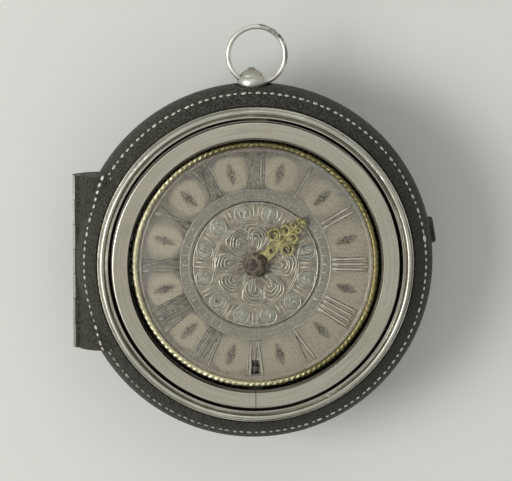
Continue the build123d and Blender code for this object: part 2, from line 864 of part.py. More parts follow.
# Pillar plate: thick plate with the flange that rests on the ledge of the case
wheel_arbors = (fusee_place, barrel_place, alarm_place, second_place, contrate_place, strike_place,
                hammer_place)
with BuildPart() as pillar_plate:
    rod((0, 0), pillar_plate_radius, pillar_high, pillar_plate_top)
    rod((0, 0), flange_radius, ledge_height, ledge_height + flange_thickness)
    for place in wheel_arbors:
        rod(place, pivot_radius + pivot_clearance, pillar_high, pillar_plate_top, Mode.SUBTRACT)
    for angle in pillar_angles:
        rod(turned(angle, pillar_circle), pillar_tenon + running_clearance, pillar_high, pillar_plate_top,
            Mode.SUBTRACT)
    rod((0, 0), stud_radius, pillar_plate_top, pipe_top - hand_thickness)

# Top plate, pinned to the far ends of the pillars
with BuildPart() as top_plate:
    rod((0, 0), top_plate_radius, top_plate_low, pillar_low)
    for place in wheel_arbors:
        rod(place, pivot_radius + pivot_clearance, top_plate_low, pillar_low, Mode.SUBTRACT)
    for place in (fusee_place, alarm_place):
        rod(place, square_pivot + pivot_clearance, top_plate_low, pillar_low, Mode.SUBTRACT)
    for angle in pillar_angles:
        rod(turned(angle, pillar_circle), pillar_tenon + running_clearance, top_plate_low, pillar_low,
            Mode.SUBTRACT)
    rod(verge_place, 2 * verge_radius, top_plate_low, pillar_low, Mode.SUBTRACT)

# Four baluster pillars, one group
with BuildPart() as movement_pillars:
    for angle in pillar_angles:
        place = turned(angle, pillar_circle)
        height = pillar_high - pillar_low
        with BuildSketch(Plane((*place, 0), x_dir=(1, 0, 0), z_dir=(0, -1, 0))):
            with BuildLine():
                band = height * pillar_band_share
                waist = height * pillar_waist_share
                Polyline((0, top_plate_low), (pillar_tenon, top_plate_low), (pillar_tenon, pillar_low),
                         (pillar_radius, pillar_low), (pillar_radius, pillar_low + band))
                ThreePointArc((pillar_radius, pillar_low + band), (pillar_waist, pillar_low + waist),
                              (pillar_radius, pillar_low + height / 2))
                ThreePointArc((pillar_radius, pillar_low + height / 2), (pillar_waist, pillar_high - waist),
                              (pillar_radius, pillar_high - band))
                Polyline((pillar_radius, pillar_high - band), (pillar_radius, pillar_high),
                         (pillar_tenon, pillar_high), (pillar_tenon, pillar_plate_top), (0, pillar_plate_top),
                         (0, top_plate_low))
            make_face()
        revolve(axis=Axis((*place, 0), (0, 0, 1)))

# Hour wheel on its pipe, with the collar under the alarm disc
with BuildPart() as hour_wheel:
    wheel_rim(hour_teeth, report_module, (0, 0), hour_wheel_low, report_angle)
    rod((0, 0), pipe_radius, hour_wheel_low, pipe_top)
    rod((0, 0), pipe_collar, hour_wheel_low, disc_low - catch_gap)
    rod((0, 0), stud_radius + running_clearance, hour_wheel_low, pipe_top, Mode.SUBTRACT)

# Hand: blade with paired scrolls on a hub, drawn along +X and turned to its hour.
# Each scroll has its place along and across the hand, its radius and the radius of its eye, in hand lengths.
hand_scroll_shares = ((0.495, 0.137, 0.107, 0.065), (0.655, 0.078, 0.088, 0.046),
                      (0.79, 0.05, 0.05, 0.018), (0.90, 0.042, 0.046, 0.017))
hand_root_shares = ((0.0, 0.099), (0.41, 0.076), (0.49, 0.038))
hand_eye_shares = (0.308, 0.034)
hand_stem_shares = (0.95, 0.046)
hand_tip_shares = (0.92, 0.034)


def hand_blank():
    """Outline of the hand before the eyes of its scrolls are pierced."""
    root = [(along * hand_length, across * hand_length) for along, across in hand_root_shares]
    tip = (hand_tip_shares[0] * hand_length, hand_tip_shares[1] * hand_length)
    Circle(hand_hub)
    Rectangle(hand_length * hand_stem_shares[0], hand_length * hand_stem_shares[1],
              align=(Align.MIN, Align.CENTER))
    for along, across, size, eye in hand_scroll_shares:
        for side in (-1, 1):
            with Locations((along * hand_length, side * across * hand_length)):
                Circle(size * hand_length)
    with BuildLine() as root_line:
        Polyline(*root, *[(along, -across) for along, across in reversed(root)], close=True)
    make_face(root_line.line)
    with BuildLine() as tip_line:
        Polyline(tip, (hand_length, 0), (tip[0], -tip[1]), close=True)
    make_face(tip_line.line)


with BuildPart() as hour_hand:
    with BuildSketch(Plane((0, 0, hand_low), x_dir=(*turned(hand_angle, 1), 0), z_dir=(0, 0, 1))):
        hand_blank()
        for along, across, size, eye in hand_scroll_shares:
            for side in (-1, 1):
                with Locations((along * hand_length, side * across * hand_length)):
                    Circle(eye * hand_length, mode=Mode.SUBTRACT)
        with Locations((hand_eye_shares[0] * hand_length, 0)):
            Circle(hand_eye_shares[1] * hand_length, mode=Mode.SUBTRACT)
        Circle(pipe_radius + running_clearance, mode=Mode.SUBTRACT)
    extrude(amount=hand_thickness)

# Domed boss over the end of the pipe
with BuildPart() as centre_boss:
    boss_low = hand_low + hand_thickness
    boss_dome = (boss_radius**2 + boss_height**2) / (2 * boss_height)
    boss_angle = degrees(acos(boss_radius / boss_dome))
    with BuildSketch(Plane.XZ):
        with BuildLine():
            Polyline((0, boss_low + boss_height), (0, pipe_top), (pipe_radius + running_clearance, pipe_top),
                     (pipe_radius + running_clearance, boss_low), (boss_radius, boss_low))
            CenterArc((0, boss_low + boss_height - boss_dome), boss_dome, boss_angle, 90 - boss_angle)
        make_face()
    revolve(axis=Axis.Z)

# Latch of the movement, reached through the slot at six o'clock
with BuildPart() as movement_latch:
    with Locations((0, -(latch_inner + latch_outer) / 2, latch_low)):
        Box(latch_width, latch_outer - latch_inner, latch_thickness, align=upright)
    with Locations((0, -(nib_inner + nib_outer) / 2, latch_low)):
        Box(nib_width, nib_outer - nib_inner, dial_top - nib_depth - latch_low, align=upright)

# Fusee with its great wheel, winding square and the report pinion above the pillar plate
great_turn = second_angle
with BuildPart() as great_wheel:
    wheel_rim(great_teeth, great_module, fusee_place, great_height, great_turn)
    with BuildSketch(Plane((*fusee_place, 0), x_dir=(1, 0, 0), z_dir=(0, -1, 0))):
        with BuildLine():
            step = (great_height - fusee_low) / fusee_grooves
            outline = [(0, fusee_low)]
            for groove in range(fusee_grooves):
                radius = fusee_small + (fusee_large - fusee_small) * (groove / (fusee_grooves - 1)) ** 2
                outline += [(radius, fusee_low + groove * step),
                            (radius, fusee_low + (groove + groove_land_share) * step),
                            (radius - chain_thickness, fusee_low + (groove + groove_side_share) * step),
                            (radius - chain_thickness, fusee_low + (groove + 1) * step)]
            Polyline(*outline, (0, great_height), close=True)
        make_face()
    revolve(axis=Axis((*fusee_place, 0), (0, 0, 1)))
    arbor(fusee_place, pillar_low + pivot_clearance, pillar_high - pivot_clearance)
    rod(fusee_place, square_pivot, top_plate_low, pillar_low)
    rod(fusee_place, pivot_radius, pillar_high, hour_wheel_low)
    winding_square(fusee_place)
    leaves(report_leaves, report_module, Plane((*fusee_place, hour_wheel_low)), wheel_thickness,
           report_angle + 180 + 180 / report_leaves)

# Mainspring barrel with a proud cap
with BuildPart() as mainspring_barrel:
    rod(barrel_place, spring_barrel_radius, spring_barrel_low, spring_barrel_high)
    rod(barrel_place, spring_barrel_radius - barrel_cap, spring_barrel_high, spring_barrel_high + barrel_cap)
    arbor(barrel_place, pillar_low + pivot_clearance, pillar_high - pivot_clearance)

# Chain between barrel and fusee, the straight run along their common tangent
with BuildPart() as fusee_chain:
    run = hypot(barrel_place[0] - fusee_place[0], barrel_place[1] - fusee_place[1])
    course = degrees(atan2(barrel_place[1] - fusee_place[1], barrel_place[0] - fusee_place[0]))
    wrap_fusee = fusee_large + chain_clearance + chain_thickness / 2
    wrap_barrel = spring_barrel_radius + chain_clearance + chain_thickness / 2
    lean = degrees(asin((wrap_barrel - wrap_fusee) / run))
    leave = course - 90 - lean
    run_start = beside(fusee_place, leave, wrap_fusee)
    run_end = beside(barrel_place, leave, wrap_barrel)
    along_run = (run_end[0] - run_start[0], run_end[1] - run_start[1])
    chain_middle = great_height - chain_height * chain_drop_share
    with BuildSketch(Plane((*run_start, chain_middle), x_dir=(-along_run[1], along_run[0], 0),
                           z_dir=(*along_run, 0))):
        Rectangle(chain_thickness, chain_height)
    extrude(amount=hypot(*along_run))

# Second wheel: pinion in the great wheel, crossed-out wheel near the top plate
with BuildPart() as second_wheel:
    wheel_rim(second_teeth, second_module, second_place, second_height, contrate_angle)
    second_rim = second_module * second_teeth / 2 - 2 * wheel_thickness
    crossings(second_place, second_height, 3 * arbor_radius, second_rim, balance_arms, balance_arm_width)
    leaves(second_leaves, great_module, Plane((*second_place, great_height - pivot_radius)),
           wheel_thickness + 2 * pivot_radius, great_turn + 180 + 180 / second_leaves)
    arbor(second_place, pillar_low + pivot_clearance, pillar_high - pivot_clearance)

# Contrate wheel: crown of teeth pointing back, crossed-out disc
with BuildPart() as contrate_wheel:
    disc_height = contrate_low + contrate_tooth
    rod(contrate_place, contrate_radius, contrate_low, disc_height + contrate_disc)
    rod(contrate_place, contrate_radius - contrate_ring, contrate_low, disc_height, Mode.SUBTRACT)
    gap_planes = radial_planes(contrate_teeth, (*contrate_place, 0), 180 / contrate_teeth)
    gap_pitch = 2 * pi * (contrate_radius - contrate_ring / 2) / contrate_teeth
    with BuildSketch(*gap_planes):
        with BuildLine():
            gap_top, gap_mouth = gap_pitch * contrate_gap_shares[0], gap_pitch * contrate_gap_shares[1]
            Polyline((-gap_top, disc_height), (-gap_mouth, contrate_low), (gap_mouth, contrate_low),
                     (gap_top, disc_height), close=True)
        make_face()
    extrude(amount=contrate_radius + overrun, mode=Mode.SUBTRACT)
    crossings(contrate_place, disc_height, contrate_hub_share * arbor_radius,
              contrate_radius - contrate_rim_share * contrate_ring, balance_arms, balance_arm_width)
    leaves(contrate_leaves, second_module, Plane((*contrate_place, second_height - pivot_radius)),
           wheel_thickness + 2 * pivot_radius, contrate_angle + 180 + 180 / contrate_leaves)
    arbor(contrate_place, pillar_low + pivot_clearance, pillar_high - pivot_clearance)

# Crown wheel of the verge escapement, on an arbor along X
with BuildPart() as crown_wheel:
    crown_centre = (crown_plane_x, verge_place[1], crown_height)
    face_plane = Plane(crown_centre, x_dir=(0, 1, 0), z_dir=(1, 0, 0))
    with BuildSketch(face_plane):
        Circle(crown_radius)
    extrude(amount=crown_depth)
    with BuildSketch(face_plane.offset(crown_rim)):
        Circle(crown_radius - crown_rim)
    extrude(amount=crown_depth, mode=Mode.SUBTRACT)
    saw_planes = []
    for index in range(crown_teeth):
        angle = radians(360 * index / crown_teeth)
        outwards = (0, cos(angle), sin(angle))
        saw_planes.append(Plane(crown_centre, x_dir=(0, -sin(angle), cos(angle)), z_dir=outwards))
    saw_pitch = 2 * pi * crown_radius / crown_teeth
    with BuildSketch(*saw_planes):
        with BuildLine():
            Polyline((0, crown_depth - crown_tooth), (0, crown_depth),
                     (saw_pitch * saw_lean_share, crown_depth), close=True)
        make_face()
    extrude(amount=crown_radius + overrun, mode=Mode.SUBTRACT)
    pinion_plane = Plane((crown_pinion_x, verge_place[1], crown_height), x_dir=(0, 1, 0), z_dir=(1, 0, 0))
    with BuildSketch(pinion_plane.offset(-2 * arbor_radius)):
        Circle(pivot_radius)
    extrude(amount=crown_plane_x + crown_rim - crown_pinion_x + 2 * arbor_radius)
    leaves(crown_leaves, crown_module, pinion_plane, contrate_ring, 90 + 180 / crown_leaves)

# Balance and verge with its two pallets
with BuildPart() as balance:
    rod(verge_place, balance_radius, balance_low, balance_low + balance_thickness)
    with BuildSketch(Plane((*verge_place, balance_low))):
        Circle(balance_radius - balance_rim)
        Circle(3 * verge_radius, mode=Mode.SUBTRACT)
        with PolarLocations(0, balance_arms):
            Rectangle(balance_radius, balance_arm_width, align=(Align.MIN, Align.CENTER), mode=Mode.SUBTRACT)
    extrude(amount=balance_thickness, mode=Mode.SUBTRACT)
    rod(verge_place, verge_radius, cock_low + cock_thickness - pivot_radius,
        potence_top - potence_thickness / 2)
    for side in (-1, 1):
        pallet_level = crown_height + side * (crown_radius - crown_rim / 2)
        with Locations(Location((*verge_place, pallet_level), (0, 0, 180 - side * pallet_turn))):
            Box(pallet_reach, pallet_width, pallet_height, align=(Align.MIN, Align.CENTER, Align.CENTER))

# Balance cock: pierced table over the balance, with its foot on the top plate
foot_place = beside(verge_place, cock_foot_angle, cock_foot_place)
with BuildPart() as balance_cock:
    rod(verge_place, cock_radius, cock_low, cock_low + cock_thickness)
    foot_plane = Plane((*verge_place, cock_low), x_dir=(*turned(cock_foot_angle, 1), 0), z_dir=(0, 0, 1))
    with BuildSketch(foot_plane):
        Rectangle(cock_foot_place + cock_foot_length / 2, cock_foot_width, align=(Align.MIN, Align.CENTER))
    extrude(amount=cock_thickness)
    with BuildSketch(foot_plane):
        with Locations((cock_foot_place, 0)):
            Rectangle(cock_foot_length, cock_foot_width)
    extrude(amount=top_plate_low - cock_low)
    with BuildSketch(Plane((*verge_place, cock_low))):
        piercing_place, piercing_length, piercing_width = cock_piercing_shares
        with PolarLocations(cock_radius * piercing_place, cock_piercings):
            SlotOverall(cock_radius * piercing_length, cock_radius * piercing_width)
    extrude(amount=cock_thickness, mode=Mode.SUBTRACT)
    rod(verge_place, verge_radius + pivot_clearance, cock_low + cock_thickness / 2, cock_low + cock_thickness,
        Mode.SUBTRACT)
    rod(foot_place, cock_screw_radius + running_clearance, cock_low, top_plate_low, Mode.SUBTRACT)

with BuildPart() as cock_screw:
    rod(foot_place, cock_screw_radius, cock_low, top_plate_low)
    rod(foot_place, cock_screw_head, cock_low - cock_thickness, cock_low)
    with Locations((*foot_place, cock_low - cock_thickness)):
        Box(2 * cock_screw_head, cock_screw_head * screw_slot_share, cock_thickness / 2, align=upright,
            mode=Mode.SUBTRACT)

# Potence: bracket for the inner end of the verge
with BuildPart() as potence:
    arm_x = verge_place[0] + pallet_reach + potence_thickness / 2 + pivot_radius
    with Locations((arm_x, verge_place[1], pillar_low)):
        Box(potence_thickness, potence_width, potence_top - pillar_low, align=upright)
    with Locations(((arm_x + verge_place[0]) / 2, verge_place[1], potence_top)):
        Box(arm_x - verge_place[0] + 2 * potence_thickness, potence_width, potence_thickness,
            align=(Align.CENTER, Align.CENTER, Align.MAX))
    rod(verge_place, verge_radius + pivot_clearance, potence_top - potence_thickness,
        potence_top - potence_thickness / 2 + pivot_clearance, Mode.SUBTRACT)

# Counter-potence: bracket for the outer end of the crown wheel's arbor
with BuildPart() as counter_potence:
    bracket_x = crown_pinion_x - pivot_radius - potence_thickness / 2
    with Locations((bracket_x, verge_place[1], pillar_low)):
        Box(potence_thickness / 2, potence_width, crown_height + 2 * pivot_radius - pillar_low, align=upright)
    with BuildSketch(Plane((bracket_x - potence_thickness, verge_place[1], crown_height), x_dir=(0, 1, 0),
                           z_dir=(1, 0, 0))):
        Circle(pivot_radius + pivot_clearance)
    extrude(amount=2 * potence_thickness, mode=Mode.SUBTRACT)

# Alarm barrel with its wheel and winding square
with BuildPart() as alarm_barrel:
    rod(alarm_place, alarm_barrel_radius, alarm_barrel_low, alarm_barrel_high)
    wheel_rim(alarm_teeth, alarm_module, alarm_place, alarm_wheel_low, strike_angle)
    arbor(alarm_place, pillar_low + pivot_clearance, pillar_high - pivot_clearance)
    rod(alarm_place, square_pivot, top_plate_low, pillar_low)
    winding_square(alarm_place)

# Alarm strike wheel: pinion in the alarm wheel, saw teeth for the hammer pallets
with BuildPart() as strike_wheel:
    with BuildSketch(Plane((*strike_place, strike_low))):
        with BuildLine():
            saw_points = []
            for index in range(strike_teeth):
                saw_points.append(turned(360 * index / strike_teeth, strike_radius))
                step = 360 * (index + strike_step_share) / strike_teeth
                saw_points.append(turned(step, strike_radius - wheel_thickness))
            Polyline(*saw_points, close=True)
        make_face()
    extrude(amount=wheel_thickness)
    leaves(alarm_leaves, alarm_module, Plane((*strike_place, alarm_wheel_low - pivot_radius)),
           wheel_thickness + 2 * pivot_radius, strike_angle + 180 + 180 / alarm_leaves)
    arbor(strike_place, pillar_low + pivot_clearance, pillar_high - pivot_clearance)

# Alarm hammer on its arbor, striking the bell from inside
with BuildPart() as alarm_hammer:
    arbor(hammer_place, pillar_low + pivot_clearance, pillar_high - pivot_clearance)
    rod(hammer_place, pivot_radius, hammer_head_low, pillar_low)
    arm = (hammer_head_place[0] - hammer_place[0], hammer_head_place[1] - hammer_place[1])
    with BuildSketch(Plane((*hammer_place, hammer_head_low), x_dir=(*arm, 0), z_dir=(0, 0, 1))):
        with Locations((hypot(*arm) / 2, 0)):
            SlotCenterToCenter(hypot(*arm), hammer_arm_width)
    extrude(amount=hammer_arm_height)
    rod(hammer_head_place, hammer_head_radius, hammer_head_low, hammer_head_low + hammer_head_height)

pieces = dict(
    outer_case_leather=outer_case_leather, outer_case_shell=outer_case_shell,
    case_hinge_block=case_hinge_block, case_hinge_pin=case_hinge_pin,
    outer_bezel_leather=outer_bezel_leather, outer_bezel_ring=outer_bezel_ring,
    outer_bezel_moulding=outer_bezel_moulding, bezel_hinge_block=bezel_hinge_block,
    bezel_catch=bezel_catch, push_button=push_button, catch_spring=catch_spring,
    inner_case_body=inner_case_body, glass_bezel=glass_bezel, watch_glass=watch_glass,
    pendant=pendant, bow=bow, bell=bell, bell_screw=bell_screw, dial_plate=dial_plate, rope_ring=rope_ring,
    alarm_disc=alarm_disc, pillar_plate=pillar_plate, top_plate=top_plate, movement_pillars=movement_pillars,
    hour_wheel=hour_wheel, hour_hand=hour_hand, centre_boss=centre_boss, movement_latch=movement_latch,
    great_wheel=great_wheel, mainspring_barrel=mainspring_barrel, fusee_chain=fusee_chain,
    second_wheel=second_wheel, contrate_wheel=contrate_wheel, crown_wheel=crown_wheel, balance=balance,
    balance_cock=balance_cock, cock_screw=cock_screw, potence=potence, counter_potence=counter_potence,
    alarm_barrel=alarm_barrel, strike_wheel=strike_wheel, alarm_hammer=alarm_hammer,
)
os.makedirs("parts", exist_ok=True)
for name, piece in pieces.items():
    piece.part.label = name
    export_step(piece.part, f"parts/{name}.step")
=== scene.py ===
# %% [markdown]
# # An alarm watch in its leather-covered outer case
#
# The watch lies on its back and is seen from above. Its solid pieces were built as a CAD model and are never
# moved. This lesson gives each surface a finish made of nodes, and adds the fine work that the model leaves
# out: pins in the leather, twisted rim, engraved dial, relief of the alarm disc and chasing of the hand.

from math import cos, hypot, pi, radians, sin

import bmesh
import bpy
from mathutils import Matrix, Vector
from mathutils.bvhtree import BVHTree


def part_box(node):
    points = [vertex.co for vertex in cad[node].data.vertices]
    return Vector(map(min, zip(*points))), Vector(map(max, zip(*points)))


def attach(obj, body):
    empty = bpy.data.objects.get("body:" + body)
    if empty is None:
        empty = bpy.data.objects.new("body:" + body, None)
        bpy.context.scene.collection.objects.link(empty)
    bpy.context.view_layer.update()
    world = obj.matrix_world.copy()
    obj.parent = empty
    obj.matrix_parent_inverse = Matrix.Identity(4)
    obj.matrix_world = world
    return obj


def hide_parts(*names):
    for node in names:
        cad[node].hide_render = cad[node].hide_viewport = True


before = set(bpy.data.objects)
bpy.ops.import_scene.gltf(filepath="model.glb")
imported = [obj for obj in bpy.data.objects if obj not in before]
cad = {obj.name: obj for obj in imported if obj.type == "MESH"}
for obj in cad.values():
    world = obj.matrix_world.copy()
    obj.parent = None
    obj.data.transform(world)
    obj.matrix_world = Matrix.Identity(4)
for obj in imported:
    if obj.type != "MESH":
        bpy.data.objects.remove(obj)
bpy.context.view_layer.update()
MM = 0.001


def put(name, data):
    """New object in the scene, with a mesh, lamp or camera."""
    made = bpy.data.objects.new(name, data)
    bpy.context.scene.collection.objects.link(made)
    return made


print("solid pieces:", len(cad))

# %% [markdown]
# ## The view
#
# The photograph was taken from above with a long lens, a little from the side of twelve o'clock and a little
# from the left. That is why the raised rings sit lower and further right in the picture than the rim of the
# case. A camera turned by an aim would spin about its own axis when it looks straight down, so its three
# axes are worked out from the view direction, with twelve o'clock kept upwards.

# %% Camera
AIM = Vector((0.3, 3.8, 19.5)) * MM
DISTANCE = 690 * MM
NEAREST = 10 * MM
TOWARDS_TWELVE = radians(7.2)
TOWARDS_NINE = radians(1.9)
LENS = 254.7

towards_camera = Vector((-sin(TOWARDS_NINE), sin(TOWARDS_TWELVE), cos(TOWARDS_TWELVE))).normalized()
camera_right = Vector((0, 1, 0)).cross(towards_camera).normalized()
camera_up = towards_camera.cross(camera_right)
camera_data = bpy.data.cameras.new("view")
camera_data.lens = LENS
camera_data.clip_start = NEAREST
camera = put("view", camera_data)
turn = Matrix((camera_right, camera_up, towards_camera)).transposed().to_4x4()
camera.matrix_world = Matrix.Translation(AIM + towards_camera * DISTANCE) @ turn
bpy.context.scene.camera = camera
print("camera height, mm:", round(camera.matrix_world.translation.z / MM))

# %% [markdown]
# ## Finishes from nodes
#
# Every finish starts from the same shader and adds noise for colour, wear and fine relief. All patterns are
# measured in millimetres from the object's own coordinates, so that a grain has its real size and needs no
# unwrapped mesh. These few helpers keep each finish down to the lines that make it different.

# %% Helpers that add nodes
def shader_of(finish):
    """The one shader of a finish."""
    return finish.node_tree.nodes["Principled BSDF"]


def start_finish(name, colour, metal=0.0, roughness=0.5):
    """New finish with its plain colour, metal and roughness."""
    finish = bpy.data.materials.new(name)
    finish.use_nodes = True
    entries = shader_of(finish).inputs
    entries["Base Color"].default_value = (*colour, 1)
    entries["Metallic"].default_value = metal
    entries["Roughness"].default_value = roughness
    return finish


def add_node(tree, kind, values=None, **settings):
    """New node with its settings and its unlinked values."""
    node = tree.nodes.new(kind)
    for name, value in settings.items():
        setattr(node, name, value)
    for name, value in (values or {}).items():
        node.inputs[name].default_value = value
    return node


def link(output, entry):
    """Join one output to one entry; an entry of the shader can be given by its name."""
    tree = output.id_data
    if isinstance(entry, str):
        entry = tree.nodes["Principled BSDF"].inputs[entry]
    tree.links.new(output, entry)


def position(finish, stretch=(1, 1, 1)):
    """Place on the object, in metres, squeezed along the axes for streaks."""
    place = add_node(finish.node_tree, "ShaderNodeTexCoord")
    squeeze = add_node(finish.node_tree, "ShaderNodeMapping", {"Scale": stretch})
    link(place.outputs["Object"], squeeze.inputs["Vector"])
    return squeeze.outputs["Vector"]


def coordinates(finish):
    """X, Y and Z of the place on the object."""
    split = add_node(finish.node_tree, "ShaderNodeSeparateXYZ")
    link(position(finish), split.inputs["Vector"])
    return [split.outputs[axis] for axis in "XYZ"]


print("helpers that add nodes")

# %% Helpers that compute
def compute(operation, first, second=0.0):
    """One arithmetic step on an output and another output or a number."""
    step = add_node(first.id_data, "ShaderNodeMath", operation=operation)
    for entry, value in zip(step.inputs, (first, second)):
        if isinstance(value, (int, float)):
            entry.default_value = value
        else:
            link(value, entry)
    return step.outputs["Value"]


def times(first, second):
    """Product of two values."""
    return compute("MULTIPLY", first, second)


def plus(first, second):
    """Sum of two values."""
    return compute("ADD", first, second)


def distance_out(x, y):
    """Distance from the axis of the watch."""
    return compute("SQRT", plus(times(x, x), times(y, y)))


def spread(value, low, high, to_low=0.0, to_high=1.0):
    """Values from low to high, stretched to a new range and held there."""
    change = add_node(value.id_data, "ShaderNodeMapRange",
                      {"From Min": low, "From Max": high, "To Min": to_low, "To Max": to_high})
    link(value, change.inputs["Value"])
    return change.outputs["Result"]


def side_of(finish, towards, low, high, centre=(0, 0)):
    """Grows from 0 to 1 between two distances from a centre, along a direction in degrees."""
    way_x, way_y = cos(radians(towards)), sin(radians(towards))
    x, y, _ = coordinates(finish)
    reach = plus(times(x, way_x), times(y, way_y))
    reach = compute("SUBTRACT", reach, (centre[0] * way_x + centre[1] * way_y) * MM)
    return spread(reach, low * MM, high * MM)


print("helpers that compute")

# %% Helpers for patterns, colour and relief
def noise(finish, size, detail, stretch=(1, 1, 1)):
    """Soft mottling with patches of about this size in millimetres."""
    pattern = add_node(finish.node_tree, "ShaderNodeTexNoise", {"Scale": 1 / (size * MM), "Detail": detail})
    link(position(finish, stretch), pattern.inputs["Vector"])
    return pattern.outputs["Fac"]


def noise_along(parts, detail):
    """Noise that takes two or three computed values for its X, Y and Z."""
    tree = parts[0].id_data
    place = add_node(tree, "ShaderNodeCombineXYZ")
    for part, entry in zip(parts, place.inputs):
        link(part, entry)
    pattern = add_node(tree, "ShaderNodeTexNoise", {"Scale": 1.0, "Detail": detail})
    link(place.outputs["Vector"], pattern.inputs["Vector"])
    return pattern.outputs["Fac"]


def cells(finish, size):
    """Grain like pebbles of about this size in millimetres."""
    pattern = add_node(finish.node_tree, "ShaderNodeTexVoronoi", {"Scale": 1 / (size * MM)})
    link(position(finish), pattern.inputs["Vector"])
    return pattern.outputs["Distance"]


def blend(share, first, second):
    """Colour between two others; each of them is a colour or an output."""
    mixer = add_node(share.id_data, "ShaderNodeMix", data_type="RGBA")
    link(share, mixer.inputs["Factor"])
    colours = [entry for entry in mixer.inputs if entry.type == "RGBA"]
    for entry, value in zip(colours, (first, second)):
        if isinstance(value, tuple):
            entry.default_value = (*value, 1)
        else:
            link(value, entry)
    return [output for output in mixer.outputs if output.type == "RGBA"][0]


def tarnish(finish, dull, share):
    """Blends the colour that a finish has so far towards a dull one, by a share."""
    clean = shader_of(finish).inputs["Base Color"].links[0].from_socket
    link(blend(share, clean, dull), "Base Color")


def relief(height, depth):
    """Fine relief of this depth in millimetres, too small for the mesh."""
    bump = add_node(height.id_data, "ShaderNodeBump", {"Strength": 1.0, "Distance": depth * MM})
    link(height, bump.inputs["Height"])
    link(bump.outputs["Normal"], "Normal")


print("helpers for patterns")

# %% [markdown]
# ## Leather
#
# The outer case is covered in thin, nearly black leather with a fine grain, rubbed smoother on the raised
# parts and paler along the joint where the skin was pared thin. Pebble cells with a little noise make
# the grain. A coarser, creased version covers the hinge, where the skin was stretched over the block. Painted
# light makes the left side of the case a little paler, and painted shade darkens it towards the lower right.

# %% Leather finishes
LEATHER_DARK = (0.021, 0.019, 0.014)
LEATHER_WORN = (0.115, 0.107, 0.078)
LEATHER_EDGE = (0.16, 0.15, 0.12)
LEATHER_PAINTED_SHADE = (0.016, 0.015, 0.010)
LEATHER_FADED_AND_LIT = (0.075, 0.070, 0.052)
LEATHER_GLOSS = 0.33
JOINT_HEIGHT = 19.52
EDGE_HALF, EDGE_FADE = 0.12, 0.42


def leather_finish(name, grain, crease, depth):
    """Dark skin with pebbles and creases of a size, worn patches and a pale pared edge at the joint."""
    finish = start_finish(name, LEATHER_DARK)
    pebbles = cells(finish, grain)
    fibres = noise(finish, grain / 3, 4)
    patches = noise(finish, crease, 4)
    tops = spread(pebbles, 0.68, 0.0)
    worn = times(spread(patches, 0.36, 0.62, 0.55, 1.0), tops)
    skin = blend(worn, LEATHER_DARK, LEATHER_WORN)
    z = coordinates(finish)[2]
    off_joint = compute("ABSOLUTE", compute("SUBTRACT", z, JOINT_HEIGHT * MM))
    edge = spread(off_joint, EDGE_HALF * MM, EDGE_FADE * MM, 1.0, 0.0)
    link(blend(edge, skin, LEATHER_EDGE), "Base Color")
    shader_of(finish).inputs["Specular IOR Level"].default_value = LEATHER_GLOSS
    link(spread(fibres, 0.3, 0.7, 0.4, 0.65), "Roughness")
    height = plus(times(pebbles, -0.7), times(fibres, 0.5))
    relief(plus(height, times(patches, 1.4)), depth)
    return finish


leather = leather_finish("leather", grain=0.5, crease=1.5, depth=0.7)
hinge_leather = leather_finish("hinge_leather", grain=0.62, crease=2.0, depth=0.9)
# Painted shade: the case darkens towards the lower right, away from the lamp.
tarnish(leather, LEATHER_PAINTED_SHADE, side_of(leather, -40, -20, 60))
# Painted light: the left side, towards the lamp, is a little paler.
tarnish(leather, LEATHER_FADED_AND_LIT, times(side_of(leather, 172, 12, 32), 0.3))
tarnish(hinge_leather, LEATHER_FADED_AND_LIT, times(noise(hinge_leather, 0.5, 4), 0.62))
print("leather finishes:", leather.name, hinge_leather.name)

# %% [markdown]
# ## Silver, gilt brass and steel
#
# Old metal is never one colour. The silver has warm tarnish in soft patches and hair-fine scratches from
# polishing, the gilding is worn to brass on the high places, and the steel is dark. One helper makes them
# all from a clean and a tarnished colour, because one grey for all looks like plastic.

# %% Metal finishes
def metal_finish(name, clean, tarnished, roughness, patch, spots=(0.40, 0.72), scratch=0.012, metal=1.0):
    """Metal with tarnish in patches of a size in millimetres, and fine scratches."""
    finish = start_finish(name, clean, metal, roughness)
    clouds = noise(finish, patch, 5)
    specks = noise(finish, patch / 9, 3)
    both = plus(times(clouds, 0.7), times(specks, 0.3))
    link(blend(spread(both, *spots), clean, tarnished), "Base Color")
    link(spread(both, *spots, roughness * 0.85, roughness * 1.5), "Roughness")
    relief(noise(finish, 0.5, 2, stretch=(1, 7, 3)), scratch)
    return finish


silver = metal_finish("silver", (0.65, 0.608, 0.52), (0.41, 0.372, 0.30), 0.32, 4)
bright_silver = metal_finish("bright_silver", (0.72, 0.695, 0.625), (0.44, 0.412, 0.345), 0.32, 5)
ball_silver = metal_finish("ball_silver", (0.76, 0.74, 0.68), (0.50, 0.475, 0.41), 0.36, 3)
pin_silver = metal_finish("pin_silver", (0.65, 0.635, 0.575), (0.34, 0.32, 0.27), 0.48, 1.6, metal=0.75)
bow_silver = metal_finish("bow_silver", (0.80, 0.78, 0.71), (0.46, 0.43, 0.36), 0.4, 2.4, (0.5, 0.7), 0.004)
gilt = metal_finish("gilt_brass", (0.78, 0.66, 0.33), (0.38, 0.33, 0.16), 0.3, 2.2)
hand_gilt = metal_finish("hand_gilt", (0.36, 0.33, 0.155), (0.16, 0.145, 0.07), 0.5, 0.9, (0.38, 0.62), 0.05,
                         metal=0.6)
rope_gilt = metal_finish("rope_gilt", (0.80, 0.75, 0.53), (0.42, 0.38, 0.23), 0.42, 0.8)
bell_metal = metal_finish("bell_metal", (0.58, 0.52, 0.40), (0.34, 0.29, 0.20), 0.35, 7)
steel = metal_finish("steel", (0.42, 0.42, 0.41), (0.20, 0.19, 0.17), 0.35, 3)
dark_steel = metal_finish("dark_steel", (0.075, 0.070, 0.062), (0.03, 0.028, 0.024), 0.42, 2)
boss_metal = metal_finish("boss_metal", (0.36, 0.32, 0.235), (0.085, 0.065, 0.068), 0.3, 0.9, (0.40, 0.56),
                          0.25)
